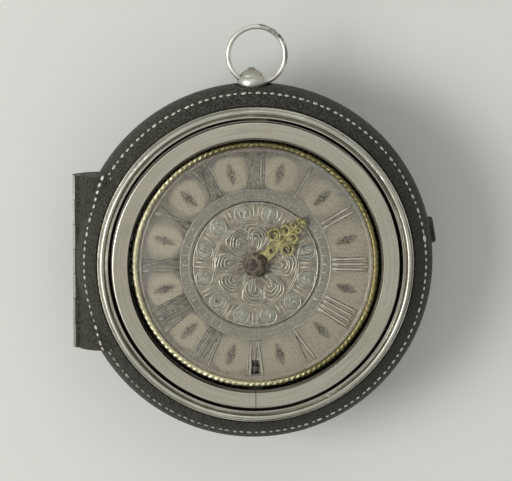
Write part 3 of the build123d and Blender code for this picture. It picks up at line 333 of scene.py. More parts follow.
# Painted shade: near black for the inner case's faces in the deep recess round the dial.
recess_painted_shade = metal_finish("recess_painted_shade", (0.07, 0.062, 0.036), (0.025, 0.022, 0.014), 0.5, 2)
# Gilt of the pillar plate; further down, its rim is painted near black as shade.
plate_painted_shade = metal_finish("plate_painted_shade", (0.66, 0.55, 0.27), (0.34, 0.29, 0.14), 0.3, 2.2)
print("metals:", silver.name, gilt.name, steel.name)

# %% [markdown]
# ## Lathe rings, darker sides and painted shade
#
# The bezels carry fine rings from the lathe. The silver is darker on the left, the pins towards the lower
# left, the rope towards the upper right and the bow in patches at its upper right and on its outer edge at
# the right.
# The ball's flanks and far end and the rim of the pillar plate get painted shade. Each is a dull colour
# blended over a finish, by how far a point lies from the axis or along a direction.

# %% Lathe rings and dull sides
BALL_PAINTED_SHADE = (0.27, 0.248, 0.20)
BALL_CENTRE = (0, 34.3)
BALL_FLANK, BALL_CROWN = 19.9, 21.9
BOW_CENTRE = (0.4, 39.2)
RINGS_PER_METRE, DRIFT_PER_METRE = 3200.0, 90.0
RECESS_INNER = 22.6


def lathe_lines(finish, dull, share):
    """Fine rings of a dull colour, as turning and polishing leave them round the case."""
    x, y, _ = coordinates(finish)
    rings = noise_along((times(distance_out(x, y), RINGS_PER_METRE), times(x, DRIFT_PER_METRE),
                         times(y, DRIFT_PER_METRE)), 4.0)
    tarnish(finish, dull, spread(rings, 0.42, 0.68, 0.0, share))


lathe_lines(silver, (0.36, 0.325, 0.26), 0.55)
lathe_lines(bright_silver, (0.27, 0.248, 0.20), 0.75)
tarnish(silver, (0.33, 0.295, 0.225), times(side_of(silver, 185, 8, 27), 0.4))
tarnish(pin_silver, (0.26, 0.245, 0.20), side_of(pin_silver, -128, 14, 40))
tarnish(rope_gilt, (0.15, 0.132, 0.06), side_of(rope_gilt, 25, -17, 2))
# Painted shade: the ball darkens low on its flanks and towards its end by the bow.
ball_height = coordinates(ball_silver)[2]
tarnish(ball_silver, BALL_PAINTED_SHADE, spread(ball_height, BALL_FLANK * MM, BALL_CROWN * MM, 0.9, 0.0))
tarnish(ball_silver, BALL_PAINTED_SHADE, times(side_of(ball_silver, 90, 1.1, 2.4, BALL_CENTRE), 0.42))
bow_patches = times(side_of(bow_silver, 57, 4.75, 5.25, BOW_CENTRE),
                    spread(noise(bow_silver, 0.8, 3), 0.3, 0.6))
bow_right = times(side_of(bow_silver, 2, 5.3, 5.45, BOW_CENTRE), 0.8)
tarnish(bow_silver, (0.12, 0.111, 0.09), compute("MAXIMUM", bow_patches, bow_right))
# Painted shade: the pillar plate turns near black outside this radius, where it shows in the deep recess.
rim_radius = distance_out(*coordinates(plate_painted_shade)[:2])
tarnish(plate_painted_shade, (0.014, 0.012, 0.008), spread(rim_radius, (RECESS_INNER - 0.4) * MM, RECESS_INNER * MM))
print("radius where the plate turns dark, mm:", RECESS_INNER)

# %% [markdown]
# ## The dial's silver
#
# The dial is matt silver, dark round the hour numerals and paler between them, with a bluish speckled ring
# inside them and a blue stain near the rim after one o'clock. A painted picture would blur when seen close.
# The finish works out the angle and distance from the centre at each point and lays colour over colour.

# %% Dial finish
BAND_OUTER, BAND_BLUR = 14.2, 0.15
CHAPTER_MIDDLE, CHAPTER_HALF = 17.7, 3.6
DIAL_PALE = (0.28, 0.253, 0.20)
DIAL_GROUND = (0.27, 0.243, 0.193)
DIAL_COOL = (0.125, 0.115, 0.103)
DIAL_SMUDGE = (0.095, 0.082, 0.064)
BAND_BLUE = (0.165, 0.158, 0.138)
BAND_SPECKS = (0.38, 0.38, 0.35)
STAIN_BLUE = (0.15, 0.155, 0.155)
STREAKS_ROUND, STREAKS_OUTWARDS = 34.0, 210.0


def dial_finish(name):
    """Matt silver with pale plaques at the half hours and a cool ground round the numerals."""
    finish = start_finish(name, DIAL_PALE, 0.75, 0.5)
    x, y, _ = coordinates(finish)
    angle = compute("ARCTAN2", y, x)
    radius = distance_out(x, y)
    clouds = noise(finish, 2.6, 5)
    grain = noise(finish, 0.5, 4)
    at_hours = plus(compute("COSINE", times(angle, 12.0)), 1.0)
    off_middle = compute("SUBTRACT", radius, CHAPTER_MIDDLE * MM)
    off_middle = compute("DIVIDE", off_middle, CHAPTER_HALF * MM)
    off_middle = times(off_middle, off_middle)
    square = plus(times(at_hours, 0.42), times(off_middle, off_middle))
    square = plus(square, times(clouds, 0.7))
    plaque = spread(square, 0.76, 1.22, 1.0, 0.0)
    cool = side_of(finish, 152, -16, 12)
    streaks = noise_along((times(angle, STREAKS_ROUND), times(radius, STREAKS_OUTWARDS)), 5.0)
    worn = times(spread(streaks, 0.42, 0.62, 0.0, 0.7), spread(cool, 0.0, 1.0, 0.35, 1.0))
    spot = plus(times(at_hours, 5.0), times(off_middle, 3.2))
    smudge = times(spread(spot, 0.2, 1.4, 1.0, 0.0), spread(grain, 0.3, 0.6, 0.25, 0.85))
    dust = spread(clouds, 0.45, 0.75, 0.0, 0.4)
    dirt = spread(noise(finish, 0.35, 4), 0.45, 0.75, 0.0, 0.5)
    inside = spread(radius, (BAND_OUTER + BAND_BLUR) * MM, (BAND_OUTER - BAND_BLUR) * MM)
    blue = times(inside, spread(grain, 0.3, 0.66, 1.0, 0.35))
    stain = times(side_of(finish, 43, 19.0, 21.4), spread(noise(finish, 0.8, 4), 0.46, 0.56))
    specks = times(inside, spread(noise(finish, 0.3, 2), 0.55, 0.7, 0.0, 0.5))
    plate = blend(cool, DIAL_GROUND, DIAL_COOL)
    layers = ((worn, DIAL_SMUDGE), (plaque, DIAL_PALE), (smudge, DIAL_SMUDGE), (dust, DIAL_GROUND),
              (dirt, DIAL_SMUDGE), (blue, BAND_BLUE), (stain, STAIN_BLUE), (specks, BAND_SPECKS))
    for share, colour in layers:
        plate = blend(share, plate, colour)
    link(plate, "Base Color")
    relief(noise(finish, 0.22, 3), 0.035)
    return finish


dial_silver = dial_finish("dial_silver")
disc_silver = metal_finish("disc_silver", (0.30, 0.272, 0.224), (0.15, 0.132, 0.108), 0.42, 1.1, (0.36, 0.64),
                           0.04)
relief_silver = metal_finish("relief_silver", (0.66, 0.635, 0.56), (0.42, 0.395, 0.335), 0.3, 1.0,
                             (0.42, 0.7), 0.015, metal=0.8)
frame_silver = metal_finish("frame_silver", (0.28, 0.277, 0.25), (0.19, 0.18, 0.155), 0.42, 0.8,
                            (0.40, 0.62), 0.06)
tick_silver = metal_finish("tick_silver", (0.50, 0.48, 0.42), (0.30, 0.28, 0.24), 0.4, 0.8)
print("silver of the dial side:", dial_silver.name, disc_silver.name)

# %% [markdown]
# ## Wax in the cut lines
#
# Black wax fills the numerals and marks. It is dull, and paler where it has worn thin, most of all in the
# broad strokes on the right. Noise chooses between two colours, so that no two strokes are alike.

# %% Wax finishes
wax = start_finish("wax", (0.05, 0.047, 0.04), roughness=0.6)
# This worn wax also serves as painted shade inside the rosette's flutes.
worn_wax_and_painted_shade = start_finish("worn_wax_and_painted_shade", (0.10, 0.09, 0.075), roughness=0.55)
slot_black = start_finish("slot_black", (0.012, 0.011, 0.009), roughness=0.7)
wax_wear = spread(noise(wax, 0.9, 4), 0.42, 0.66)
bar_wear = spread(noise(worn_wax_and_painted_shade, 0.55, 5), 0.35, 0.66)
for share, whole, worn in ((wax_wear, (0.034, 0.031, 0.026), (0.125, 0.113, 0.092)),
                           (bar_wear, (0.055, 0.05, 0.042), (0.20, 0.18, 0.148)),
                           (noise(slot_black, 0.8, 3), (0.008, 0.007, 0.006), (0.03, 0.028, 0.022))):
    link(blend(share, whole, worn), "Base Color")
tarnish(worn_wax_and_painted_shade, (0.27, 0.243, 0.195), side_of(worn_wax_and_painted_shade, -25, -6, 12))
relief(noise(wax, 0.25, 2), 0.03)
relief(noise(worn_wax_and_painted_shade, 0.3, 3), 0.05)
print("wax:", wax.name, worn_wax_and_painted_shade.name, slot_black.name)

# %% [markdown]
# ## Glass
#
# The dome over the dial is thin and clear. A renderer that traces light through glass leaves what lies
# under it dark and grainy, so rays towards the lamps pass straight through it, and only the eye's rays
# see its gloss.

# %% Glass finish
GLASS_BEND = 1.2
GLASS_GLOSS = (0.1, 0.1, 0.1, 1)
glass = start_finish("glass", (0.97, 0.97, 0.95), roughness=0.0)
glass_shader = shader_of(glass)
glass_shader.inputs["Transmission Weight"].default_value = 1.0
glass_shader.inputs["IOR"].default_value = GLASS_BEND
glass_shader.inputs["Specular Tint"].default_value = GLASS_GLOSS
ray = add_node(glass.node_tree, "ShaderNodeLightPath")
clear = add_node(glass.node_tree, "ShaderNodeBsdfTransparent")
choice = add_node(glass.node_tree, "ShaderNodeMixShader")
for output, entry in zip((ray.outputs["Is Shadow Ray"], glass_shader.outputs["BSDF"], clear.outputs["BSDF"]),
                         choice.inputs):
    link(output, entry)
link(choice.outputs["Shader"], glass.node_tree.nodes["Material Output"].inputs["Surface"])
print("glass lets lamp rays through")

# %% [markdown]
# ## Dress the solid pieces
#
# Each solid keeps its shape and only gets a finish. A list that says which pieces wear each finish is easier
# to change than forty single lines.

# %% Finishes of the solids
FINISH_OF = {
    leather: ["outer_case_leather", "outer_bezel_leather"],
    silver: ["outer_case_shell", "outer_bezel_ring", "bezel_catch"],
    ball_silver: ["pendant"],
    bright_silver: ["outer_bezel_moulding"],
    bow_silver: ["bow"],
    glass: ["watch_glass"],
    steel: ["case_hinge_pin", "catch_spring", "bell_screw", "fusee_chain", "cock_screw", "strike_wheel",
            "alarm_hammer"],
    dark_steel: ["push_button", "movement_latch"],
    bell_metal: ["bell"],
    dial_silver: ["dial_plate"],
    disc_silver: ["alarm_disc"],
    boss_metal: ["centre_boss"],
    hand_gilt: ["hour_hand"],
    rope_gilt: ["rope_ring"],
    plate_painted_shade: ["pillar_plate"],
    gilt: ["top_plate", "movement_pillars", "hour_wheel", "great_wheel", "mainspring_barrel", "second_wheel",
           "contrate_wheel", "crown_wheel", "balance", "balance_cock", "potence", "counter_potence",
           "alarm_barrel"],
}


def wear(node_name, *finishes):
    """Gives a solid its finishes in place of the plain ones it came with."""
    mesh = cad[node_name].data
    mesh.materials.clear()
    for finish in finishes:
        mesh.materials.append(finish)
    return mesh


for finish, names in FINISH_OF.items():
    for name in names:
        wear(name, finish)
print("solids with one finish:", sum(len(names) for names in FINISH_OF.values()))

# %% [markdown]
# ## Solids with two finishes
#
# The hinge blocks are leather outside and silver on the barrels and inside, the split bezel is satin on its
# flat and bright on its edges, and the recess round the dial is painted near black as shade. A mesh can hold
# several finishes, so those faces are chosen by where they lie and which way they look.

# %% Faces that wear a second finish
BARREL_EDGE, BARREL_END = -34.15, 0.95
BLOCK_INSIDE = 33.6
FLAT_UPWARDS = 0.95
RECESS_OUTER, RECESS_LOW = 25.6, 22.5


def of_metal(middle, normal):
    """Barrels of the hinge, and faces of its blocks that look into the case."""
    on_barrel = middle.x < BARREL_EDGE and abs(normal.y) < BARREL_END
    looks_in = middle.dot(normal) - middle.z * normal.z < 0
    return on_barrel or (looks_in and hypot(middle.x, middle.y) < BLOCK_INSIDE)


def turned_edge(middle, normal):
    """Faces of the split bezel beside its flat."""
    return normal.z < FLAT_UPWARDS


def in_recess(middle, normal):
    """Faces of the inner case round the dial, which get painted shade."""
    return hypot(middle.x, middle.y) < RECESS_OUTER and middle.z > RECESS_LOW


TWO_FINISHES = (
    ("case_hinge_block", hinge_leather, pin_silver, of_metal),
    ("bezel_hinge_block", hinge_leather, pin_silver, of_metal),
    ("glass_bezel", silver, bright_silver, turned_edge),
    ("inner_case_body", silver, recess_painted_shade, in_recess),
)
for node_name, first, second, chosen in TWO_FINISHES:
    faces = wear(node_name, first, second).polygons
    for face in faces:
        face.material_index = int(chosen(face.center / MM, face.normal))
    print(node_name, "faces in the second finish:", sum(face.material_index for face in faces))

# %% [markdown]
# ## Floor
#
# The watch lies on pale paper. A flat sheet with a hint of cloudiness is enough, which belongs to the stage.

# %% Floor
FLOOR_SIZE = 900 * MM
FLOOR_PARTS = 8
PAPER_CLOUDS = 90
floor_mesh = bmesh.new()
bmesh.ops.create_grid(floor_mesh, x_segments=FLOOR_PARTS, y_segments=FLOOR_PARTS, size=FLOOR_SIZE / 2)
floor_data = bpy.data.meshes.new("floor")
floor_mesh.to_mesh(floor_data)
floor_mesh.free()
floor = put("floor", floor_data)
paper = start_finish("paper", (0.66, 0.675, 0.63), roughness=0.9)
link(blend(noise(paper, PAPER_CLOUDS, 1), (0.655, 0.672, 0.627), (0.675, 0.69, 0.645)), "Base Color")
floor_data.materials.append(paper)
print("floor, mm:", round(FLOOR_SIZE / MM))

# %% [markdown]
# ## Lamps and surroundings
#
# A large soft lamp high on the left throws a wide shadow to the right, and an even pale surrounding keeps it
# light. Metal shows what is round it, so the surrounding also decides how bright the silver looks. Each lamp
# has a place and a size in millimetres, and a power in watts.

# %% Lamps
LAMPS = {"key_lamp": ((-440, -10, 540), 300, 2.75), "far_lamp": ((60, 480, 640), 420, 0.35)}
AIR_COLOUR = (0.97, 1.0, 0.96, 1)
AIR_LEVEL = 0.535
for name, (place, size, power) in LAMPS.items():
    lamp_data = bpy.data.lights.new(name, "AREA")
    lamp_data.shape = "SQUARE"
    lamp_data.size = size * MM
    lamp_data.energy = power
    lamp = put(name, lamp_data)
    lamp.location = Vector(place) * MM
    lamp.rotation_euler = (AIM - lamp.location).to_track_quat("-Z", "Y").to_euler()
world = bpy.data.worlds.new("surrounding")
world.use_nodes = True
world.node_tree.nodes["Background"].inputs["Color"].default_value = AIR_COLOUR
world.node_tree.nodes["Background"].inputs["Strength"].default_value = AIR_LEVEL
bpy.context.scene.world = world
bpy.context.scene.view_settings.view_transform = "Standard"
print("lamps:", len(LAMPS))

# %% [markdown]
# ## How added pieces are made
#
# The fine work is drawn as ridges: lines with a rounded back that stand on the metal, as a chaser or an
# engraver leaves them. A ridge follows any path of points, and each added piece is one mesh that rides on
# the solid body it belongs to, so that it moves with it.

# %% Paths
def polar(angle, radius):
    """Point on the dial, by its angle in degrees and its distance from the centre."""
    return radius * cos(radians(angle)), radius * sin(radians(angle))


def turned_to(angle, radius, across, outwards):
    """Point given across and outwards from a place on the dial."""
    x, y = polar(angle, radius + outwards)
    return x + across * sin(radians(angle)), y - across * cos(radians(angle))


def circle(centre, radius, count):
    """Points of a circle."""
    turns = [2 * pi * index / count for index in range(count)]
    return [(centre[0] + radius * cos(turn), centre[1] + radius * sin(turn)) for turn in turns]


def rounded(points, steps):
    """Smooth path through the points, with some steps from each to the next."""
    last = len(points) - 1
    path = []
    for index in range(last):
        a, b, c, d = (Vector(points[min(max(index + shift, 0), last)]) for shift in (-1, 0, 1, 2))
        for step in range(steps):
            t = step / steps
            path.append(0.5 * (2 * b + (c - a) * t + (2 * a - 5 * b + 4 * c - d) * t**2
                               + (3 * b - a - 3 * c + d) * t**3))
    return [(point.x, point.y) for point in path + [Vector(points[-1])]]


def wobble(index, size):
    """Small uneven number for a place in a row, the same on every run."""
    return size * sin(index * 12.9898 + 4.1) * cos(index * 78.233 + 1.7)


print("helpers for paths")

# %% Ridges and pieces
RIDGE_SECTION = ((-0.5, 0.0), (-0.38, 0.6), (-0.14, 1.0), (0.14, 1.0), (0.38, 0.6), (0.5, 0.0))
RIDGE_END = 0.3


def join_rows(mesh, rows, closed=False):
    """Four-sided faces between rows of corners, each of which goes all the way round."""
    for first, second in list(zip(rows, rows[1:])) + ([(rows[-1], rows[0])] if closed else []):
        for index in range(len(first)):
            after = (index + 1) % len(first)
            mesh.faces.new((first[index], first[after], second[after], second[index]))


def add_ridge(mesh, path, width, height, floor_height, closed=False, fade=0.0):
    """Rounded ridge along a path of (x, y) points in millimetres; fade narrows its two ends."""
    count = len(path)
    rows = []
    for index, point in enumerate(path):
        before = path[index - 1] if index or closed else point
        after = path[(index + 1) % count] if index < count - 1 or closed else point
        along = Vector(after) - Vector(before)
        side = Vector((-along.y, along.x)).normalized()
        near_end = min(index, count - 1 - index) / max(1, count - 1)
        share = 1.0 if closed or not fade else min(1.0, RIDGE_END + (1 - RIDGE_END) * near_end / fade)
        rows.append([mesh.verts.new(((point[0] + side.x * across * width * share) * MM,
                                     (point[1] + side.y * across * width * share) * MM,
                                     (floor_height + up * height * share) * MM))
                     for across, up in RIDGE_SECTION])
    join_rows(mesh, rows, closed)
    if not closed:
        mesh.faces.new(rows[0])
        mesh.faces.new(list(reversed(rows[-1])))


def make_piece(name, mesh, finish, body):
    """Turns a mesh into a piece that wears a finish and rides on a body."""
    bmesh.ops.recalc_face_normals(mesh, faces=mesh.faces)
    for face in mesh.faces:
        face.smooth = True
    data = bpy.data.meshes.new(name)
    mesh.to_mesh(data)
    mesh.free()
    data.materials.append(finish)
    piece = put(name, data)
    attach(piece, body)
    print(name, "faces:", len(data.polygons))
    return piece


print("helpers for pieces")

# %% [markdown]
# ## Pins in the leather
#
# Small silver pins hold the leather round the front of the case, each cut from wire and hammered to a short
# dash. They were set by hand, so their size and tilt vary a little, by a formula that gives the same numbers
# on each run. A ray along the slope of the leather finds the place of each domed head.

# %% Heads of the pins
DOME_RINGS, DOME_SIDES, DOME_SINK = 3, 12, 0.05


def tree_of(*node_names):
    """Search tree over the surfaces of some solids."""
    points, faces = [], []
    for name in node_names:
        start = len(points)
        points += [vertex.co.copy() for vertex in cad[name].data.vertices]
        faces += [[start + index for index in face.vertices] for face in cad[name].data.polygons]
    return BVHTree.FromPolygons(points, faces)


def add_dome(mesh, centre, outwards, along, length, width, rise):
    """Oval head with a rounded top, standing on a surface that faces outwards."""
    across = outwards.cross(along).normalized()
    along = across.cross(outwards).normalized()
    rows = []
    for ring in range(DOME_RINGS + 1):
        climb = 0.5 * pi * ring / (DOME_RINGS + 1)
        lift = rise * sin(climb) if ring else -DOME_SINK
        turns = [2 * pi * side / DOME_SIDES for side in range(DOME_SIDES)]
        rows.append([mesh.verts.new(centre + (along * length / 2 * cos(climb) * cos(turn)
                                              + across * width / 2 * cos(climb) * sin(turn)
                                              + outwards * lift) * MM) for turn in turns])
    top = mesh.verts.new(centre + outwards * rise * MM)
    join_rows(mesh, rows)
    for side in range(DOME_SIDES):
        mesh.faces.new((rows[-1][side], rows[-1][(side + 1) % DOME_SIDES], top))
    mesh.faces.new(list(reversed(rows[0])))


front_skin = tree_of("outer_bezel_leather", "bezel_hinge_block")
print("head of a pin, faces:", (DOME_RINGS + 1) * DOME_SIDES + 1)

# %% Row of pins
PIN_COUNT = 147
PIN_CIRCLE = 32.55
FIRST_PIN = 1.0
PIN_LENGTH, PIN_WIDTH, PIN_RISE = 0.88, 0.56, 0.13
UNEVEN_PLACE, UNEVEN_SIZE, UNEVEN_TILT = 0.1, 0.28, 10
BULGE_RADIUS, BULGE_HEIGHT, PIN_ABOVE = 26.0, 19.5, 4.9
RAY_START = 4
RIVET_ANGLE, RIVET_GAP = 8.2, 2.2
# Angle, length, width and rise of the pins that were mended or doubled.
MENDED_PINS = ((8.2, 1.55, 0.85, 0.22), (10.4, 0.95, 0.3, 0.1), (152.8, 1.1, 0.68, 0.2),
               (207.4, 0.7, 0.5, 0.14), (208.9, 0.7, 0.5, 0.14))


def drop_pin(mesh, angle, circle_radius, length, width, rise, tilt=0.0):
    """Sets one pin on the front of the case where a ray along the slope meets the leather."""
    slope = Vector((*polar(angle, circle_radius - BULGE_RADIUS), PIN_ABOVE)).normalized()
    start = Vector((*polar(angle, circle_radius), BULGE_HEIGHT + PIN_ABOVE)) * MM + slope * RAY_START * MM
    spot, normal, _, _ = front_skin.ray_cast(start, -slope)
    if spot is None:
        return False
    outwards = normal if normal.dot(slope) > 0 else -normal
    add_dome(mesh, spot, outwards, Vector((*polar(angle + 90 + tilt, 1), 0)), length, width, rise)
    return True


pins = bmesh.new()
placed = 0
for index in range(PIN_COUNT):
    angle = 360 * (index + wobble(index, UNEVEN_PLACE)) / PIN_COUNT + FIRST_PIN
    if abs(angle - RIVET_ANGLE) < RIVET_GAP:
        continue
    placed += drop_pin(pins, angle, PIN_CIRCLE + wobble(index + 50, UNEVEN_PLACE),
                       PIN_LENGTH * (1 + wobble(index + 90, UNEVEN_SIZE)),
                       PIN_WIDTH * (1 + wobble(index + 9, UNEVEN_SIZE)), PIN_RISE,
                       wobble(index + 30, UNEVEN_TILT))
for angle, length, width, rise in MENDED_PINS:
    placed += drop_pin(pins, angle, PIN_CIRCLE, length, width, rise)
print("pins placed:", placed)
make_piece("case_pins", pins, pin_silver, "outer_bezel")

# %% [markdown]
# ## Twisted rim of the dial
#
# A gilt rope of two strands runs round the dial and shows as slanting dashes, tighter in some places. One
# closed tube with a two-lobed section that turns as it goes round gives that twist without any crossing
# surfaces. It takes the place of the plain ring of the solid model, so its flat seat is drawn too.

# %% Rope round the dial
ROPE_RADIUS = 22.76
ROPE_THICK, ROPE_HIGH = 0.6, 0.5
ROPE_TURNS = 64
ROPE_LOBE, ROPE_SLACK = 0.11, 0.35
ROPE_STEPS, ROPE_SIDES = ROPE_TURNS * 12, 12
SEAT_STEPS = 160
rope_low, rope_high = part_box("rope_ring")
rope_middle = rope_high.z / MM - ROPE_HIGH * (1 + ROPE_LOBE)


def rope_point(step, side):
    """Corner of the rope's two-lobed section, which turns along the way."""
    angle = 360 * step / ROPE_STEPS
    turn = 2 * pi * side / ROPE_SIDES
    slack = 1.0 + ROPE_SLACK * sin(radians(angle) * 5 + 1) * cos(radians(angle) * 11)
    lobe = 1 + ROPE_LOBE * slack * cos(2 * turn - radians(angle) * 2 * ROPE_TURNS)
    reach = ROPE_RADIUS + ROPE_THICK * lobe * cos(turn)
    return Vector((*polar(angle, reach), rope_middle + ROPE_HIGH * lobe * sin(turn))) * MM


rope = bmesh.new()
join_rows(rope, [[rope.verts.new(rope_point(step, side)) for side in range(ROPE_SIDES)]
                 for step in range(ROPE_STEPS)], closed=True)
seat_inner, seat_outer = ROPE_RADIUS - ROPE_THICK, rope_high.x / MM
seat_section = [(seat_inner, rope_low.z / MM), (seat_outer, rope_low.z / MM), (seat_outer, rope_middle),
                (seat_inner, rope_middle)]
join_rows(rope, [[rope.verts.new(Vector((*polar(360 * step / SEAT_STEPS, reach), height)) * MM)
                  for reach, height in seat_section] for step in range(SEAT_STEPS)], closed=True)
rope_piece = make_piece("dial_rope", rope, rope_gilt, "watch")
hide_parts("rope_ring")

# %% [markdown]
# ## Hour numerals
#
# Numerals and ornaments were cut into the silver and filled with dark wax, which has worn. The numerals stand
# with their feet towards the centre, so each stroke is drawn in letter space and bent round the dial. A thick
# stroke is a worn bar of wax between two dark lines with a bright burr beside it, a thin one is one line.

# %% Strokes of the hour numerals
NUMERAL_LOW, NUMERAL_HIGH = 14.45, 21.2
EDGE_LINE, THIN_LINE, SERIF = 0.19, 0.22, 0.12
THICK = 0.56
BURR, BURR_OFF, BURR_FOOT, BURR_TALL = 0.09, 0.16, 0.03, 0.94
STROKE_STEPS = 5
LETTER_WIDTH = {"I": 1.08, "V": 2.2, "X": 2.3}
LETTER_STROKES = {
    "I": (((0.5, 0.0), (0.5, 1.0), THICK),),
    "V": (((0.14, 1.0), (0.5, 0.0), THICK), ((0.9, 1.0), (0.54, 0.0), 0)),
    "X": (((0.12, 1.0), (0.88, 0.0), THICK), ((0.9, 1.0), (0.1, 0.0), 0)),
}
HOURS = ("XII", "I", "II", "III", "IIII", "V", "VI", "VII", "VIII", "IX", "X", "XI")
NARROWING = 0.16
WAX_RISE = 0.045
dial_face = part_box("dial_plate")[1].z / MM


def letter_point(hour_angle, across, up):
    """Point of a letter: across in millimetres, narrowed a little towards the centre, and up as a share."""
    return turned_to(hour_angle, NUMERAL_LOW + up * (NUMERAL_HIGH - NUMERAL_LOW),
                     across * (1 - NARROWING * (1 - up)), 0)


def stroke_line(hour_angle, left, width, start, end, foot=0.0, tall=1.0):
    """Straight stroke between two points of a letter that begins at left; foot and tall shorten it."""
    return [letter_point(hour_angle, left + width * (start[0] + (end[0] - start[0]) * step / STROKE_STEPS),
                         foot + tall * start[1] + tall * (end[1] - start[1]) * step / STROKE_STEPS)
            for step in range(STROKE_STEPS + 1)]


def cut(mesh, path, width, share=1, **ends):
    """Filled line in the face of the dial, at a share of the wax's height."""
    add_ridge(mesh, path, width, WAX_RISE * share, dial_face, **ends)


numerals, fills, burrs = bmesh.new(), bmesh.new(), bmesh.new()
for hour, word in enumerate(HOURS):
    hour_angle = 90 - 30 * hour
    half = sum(LETTER_WIDTH[letter] for letter in word) / 2
    left = -half
    for letter in word:
        width = LETTER_WIDTH[letter]
        for start, end, thick in LETTER_STROKES[letter]:
            for offset in ((-thick / 2, thick / 2) if thick else (0,)):
                cut(numerals, stroke_line(hour_angle, left + offset, width, start, end),
                    EDGE_LINE if thick else THIN_LINE, fade=0.2)
            if thick:
                cut(burrs, stroke_line(hour_angle, left + thick / 2 + BURR_OFF, width, start, end,
                                       BURR_FOOT, BURR_TALL), BURR, fade=0.3)
                cut(fills, stroke_line(hour_angle, left, width, start, end), thick, 0.7)
        left += width
    for up in (0.0, 1.0):
        foot = [letter_point(hour_angle, half * share, up) for share in (-1, -0.5, 0, 0.5, 1)]
        cut(numerals, foot, SERIF, 0.8, fade=0.3)
make_piece("hour_numerals", numerals, wax, "watch")
make_piece("numeral_fills", fills, worn_wax_and_painted_shade, "watch")
make_piece("numeral_edges", burrs, tick_silver, "watch")

# %% [markdown]
# ## Marks between the numerals
#
# A slot at six lets a nail reach the latch. Between the numerals stand hand-cut ornaments of two leaves and
# five eyes, and the inner ring has a mark for each quarter of an hour. All are drawn with the same ridges.

# %% Black slot over the latch
SLOT_HALF, SLOT_INNER, SLOT_OUTER = 0.65, 18.3, 20.9
slot = bmesh.new()
corners = [(-SLOT_HALF, -SLOT_INNER), (SLOT_HALF, -SLOT_INNER), (SLOT_HALF, -SLOT_OUTER),
           (-SLOT_HALF, -SLOT_OUTER)]
cut(slot, corners, 0.2, 1.6, closed=True)
make_piece("slot_rim", slot, slot_black, "watch")

# %% Half-hour ornaments
ORNAMENT_RADIUS = 17.6
LEAF_UP = ((0.0, 0.35), (0.28, 0.95), (0.22, 1.6), (0.0, 2.35), (-0.22, 1.6), (-0.28, 0.95))
LEAF_DOWN = ((0.0, -0.35), (0.24, -0.9), (0.16, -1.4), (0.0, -2.0), (-0.16, -1.4), (-0.24, -0.9))
EYES = ((0.46, 0.12, 0.2), (-0.46, 0.12, 0.2), (0.2, -0.42, 0.15), (-0.2, -0.42, 0.15), (0.0, 0.36, 0.15))
ORNAMENT_LINE = 0.13
ornaments = bmesh.new()
for half in range(12):
    angle = 75 - 30 * half
    lean = 5 * sin(half * 2.3)
    for leaf in (LEAF_UP, LEAF_DOWN):
        shape = [turned_to(angle, ORNAMENT_RADIUS, x + lean * y * 0.02, y) for x, y in leaf]
        cut(ornaments, shape, ORNAMENT_LINE, closed=True)
    for x, y, size in EYES:
        eye = circle(turned_to(angle, ORNAMENT_RADIUS, x, y), size, 10)
        cut(ornaments, eye, ORNAMENT_LINE, 1.5, closed=True)
make_piece("half_hour_marks", ornaments, wax, "watch")

# %% Quarter marks and ring lines
QUARTER_LOW, QUARTER_HIGH = 12.7, 13.85
QUARTERS = 48
RING_LINES = (12.6, BAND_OUTER, 21.7)
quarters = bmesh.new()
for radius in RING_LINES:
    cut(quarters, circle((0, 0), radius, 180), 0.11, closed=True)
for mark in range(QUARTERS):
    angle = 360 / QUARTERS * mark
    path = [polar(angle + wobble(mark, 0.8), QUARTER_LOW), polar(angle, QUARTER_HIGH)]
    cut(quarters, path, 0.12 if mark % 4 else 0.2)
make_piece("quarter_marks", quarters, tick_silver, "watch")

# %% [markdown]
# ## The alarm disc
#
# The middle disc turns to set the alarm. It is chased in low relief: twelve rounded frames with the hours,
# and a rosette round the hand. A bump pattern would look flat from the side, so they are ridges that catch
# the light. Digits are strokes in a unit box, which matches the hand-cut look.

# %% Digits as strokes
DIGITS = {
    "0": ((0.32, 0.0), (0.08, 0.3), (0.08, 0.7), (0.32, 1.0), (0.56, 0.7), (0.56, 0.3), (0.32, 0.0)),
    "1": ((0.14, 0.8), (0.34, 1.0), (0.34, 0.5), (0.34, 0.0)),
    "2": ((0.08, 0.75), (0.2, 0.97), (0.46, 0.95), (0.54, 0.7), (0.32, 0.38), (0.05, 0.03), (0.6, 0.05)),
    "3": ((0.08, 0.85), (0.3, 1.0), (0.52, 0.8), (0.3, 0.54), (0.56, 0.28), (0.32, 0.0), (0.05, 0.12)),
    "4": ((0.42, 0.0), (0.42, 0.98), (0.04, 0.34), (0.6, 0.32)),
    "5": ((0.55, 0.97), (0.16, 0.95), (0.12, 0.58), (0.42, 0.6), (0.57, 0.3), (0.36, 0.02), (0.06, 0.1)),
    "6": ((0.5, 0.95), (0.2, 0.7), (0.07, 0.3), (0.3, 0.0), (0.55, 0.25), (0.35, 0.5), (0.1, 0.35)),
    "7": ((0.05, 0.95), (0.56, 0.96), (0.36, 0.5), (0.25, 0.0)),
    "8": ((0.32, 0.52), (0.1, 0.75), (0.32, 1.0), (0.54, 0.75), (0.32, 0.52), (0.06, 0.25), (0.32, 0.0),
          (0.58, 0.25), (0.32, 0.52)),
    "9": ((0.12, 0.05), (0.44, 0.3), (0.56, 0.7), (0.32, 1.0), (0.08, 0.75), (0.28, 0.5), (0.52, 0.65)),
}
DIGIT_HEIGHT, DIGIT_WIDTH = 1.6, 1.6 * 0.8
DIGIT_PITCH = 0.72
disc_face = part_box("alarm_disc")[1].z / MM
RELIEF = 0.26
print("digits:", len(DIGITS), "face of the disc, mm:", round(disc_face, 2))

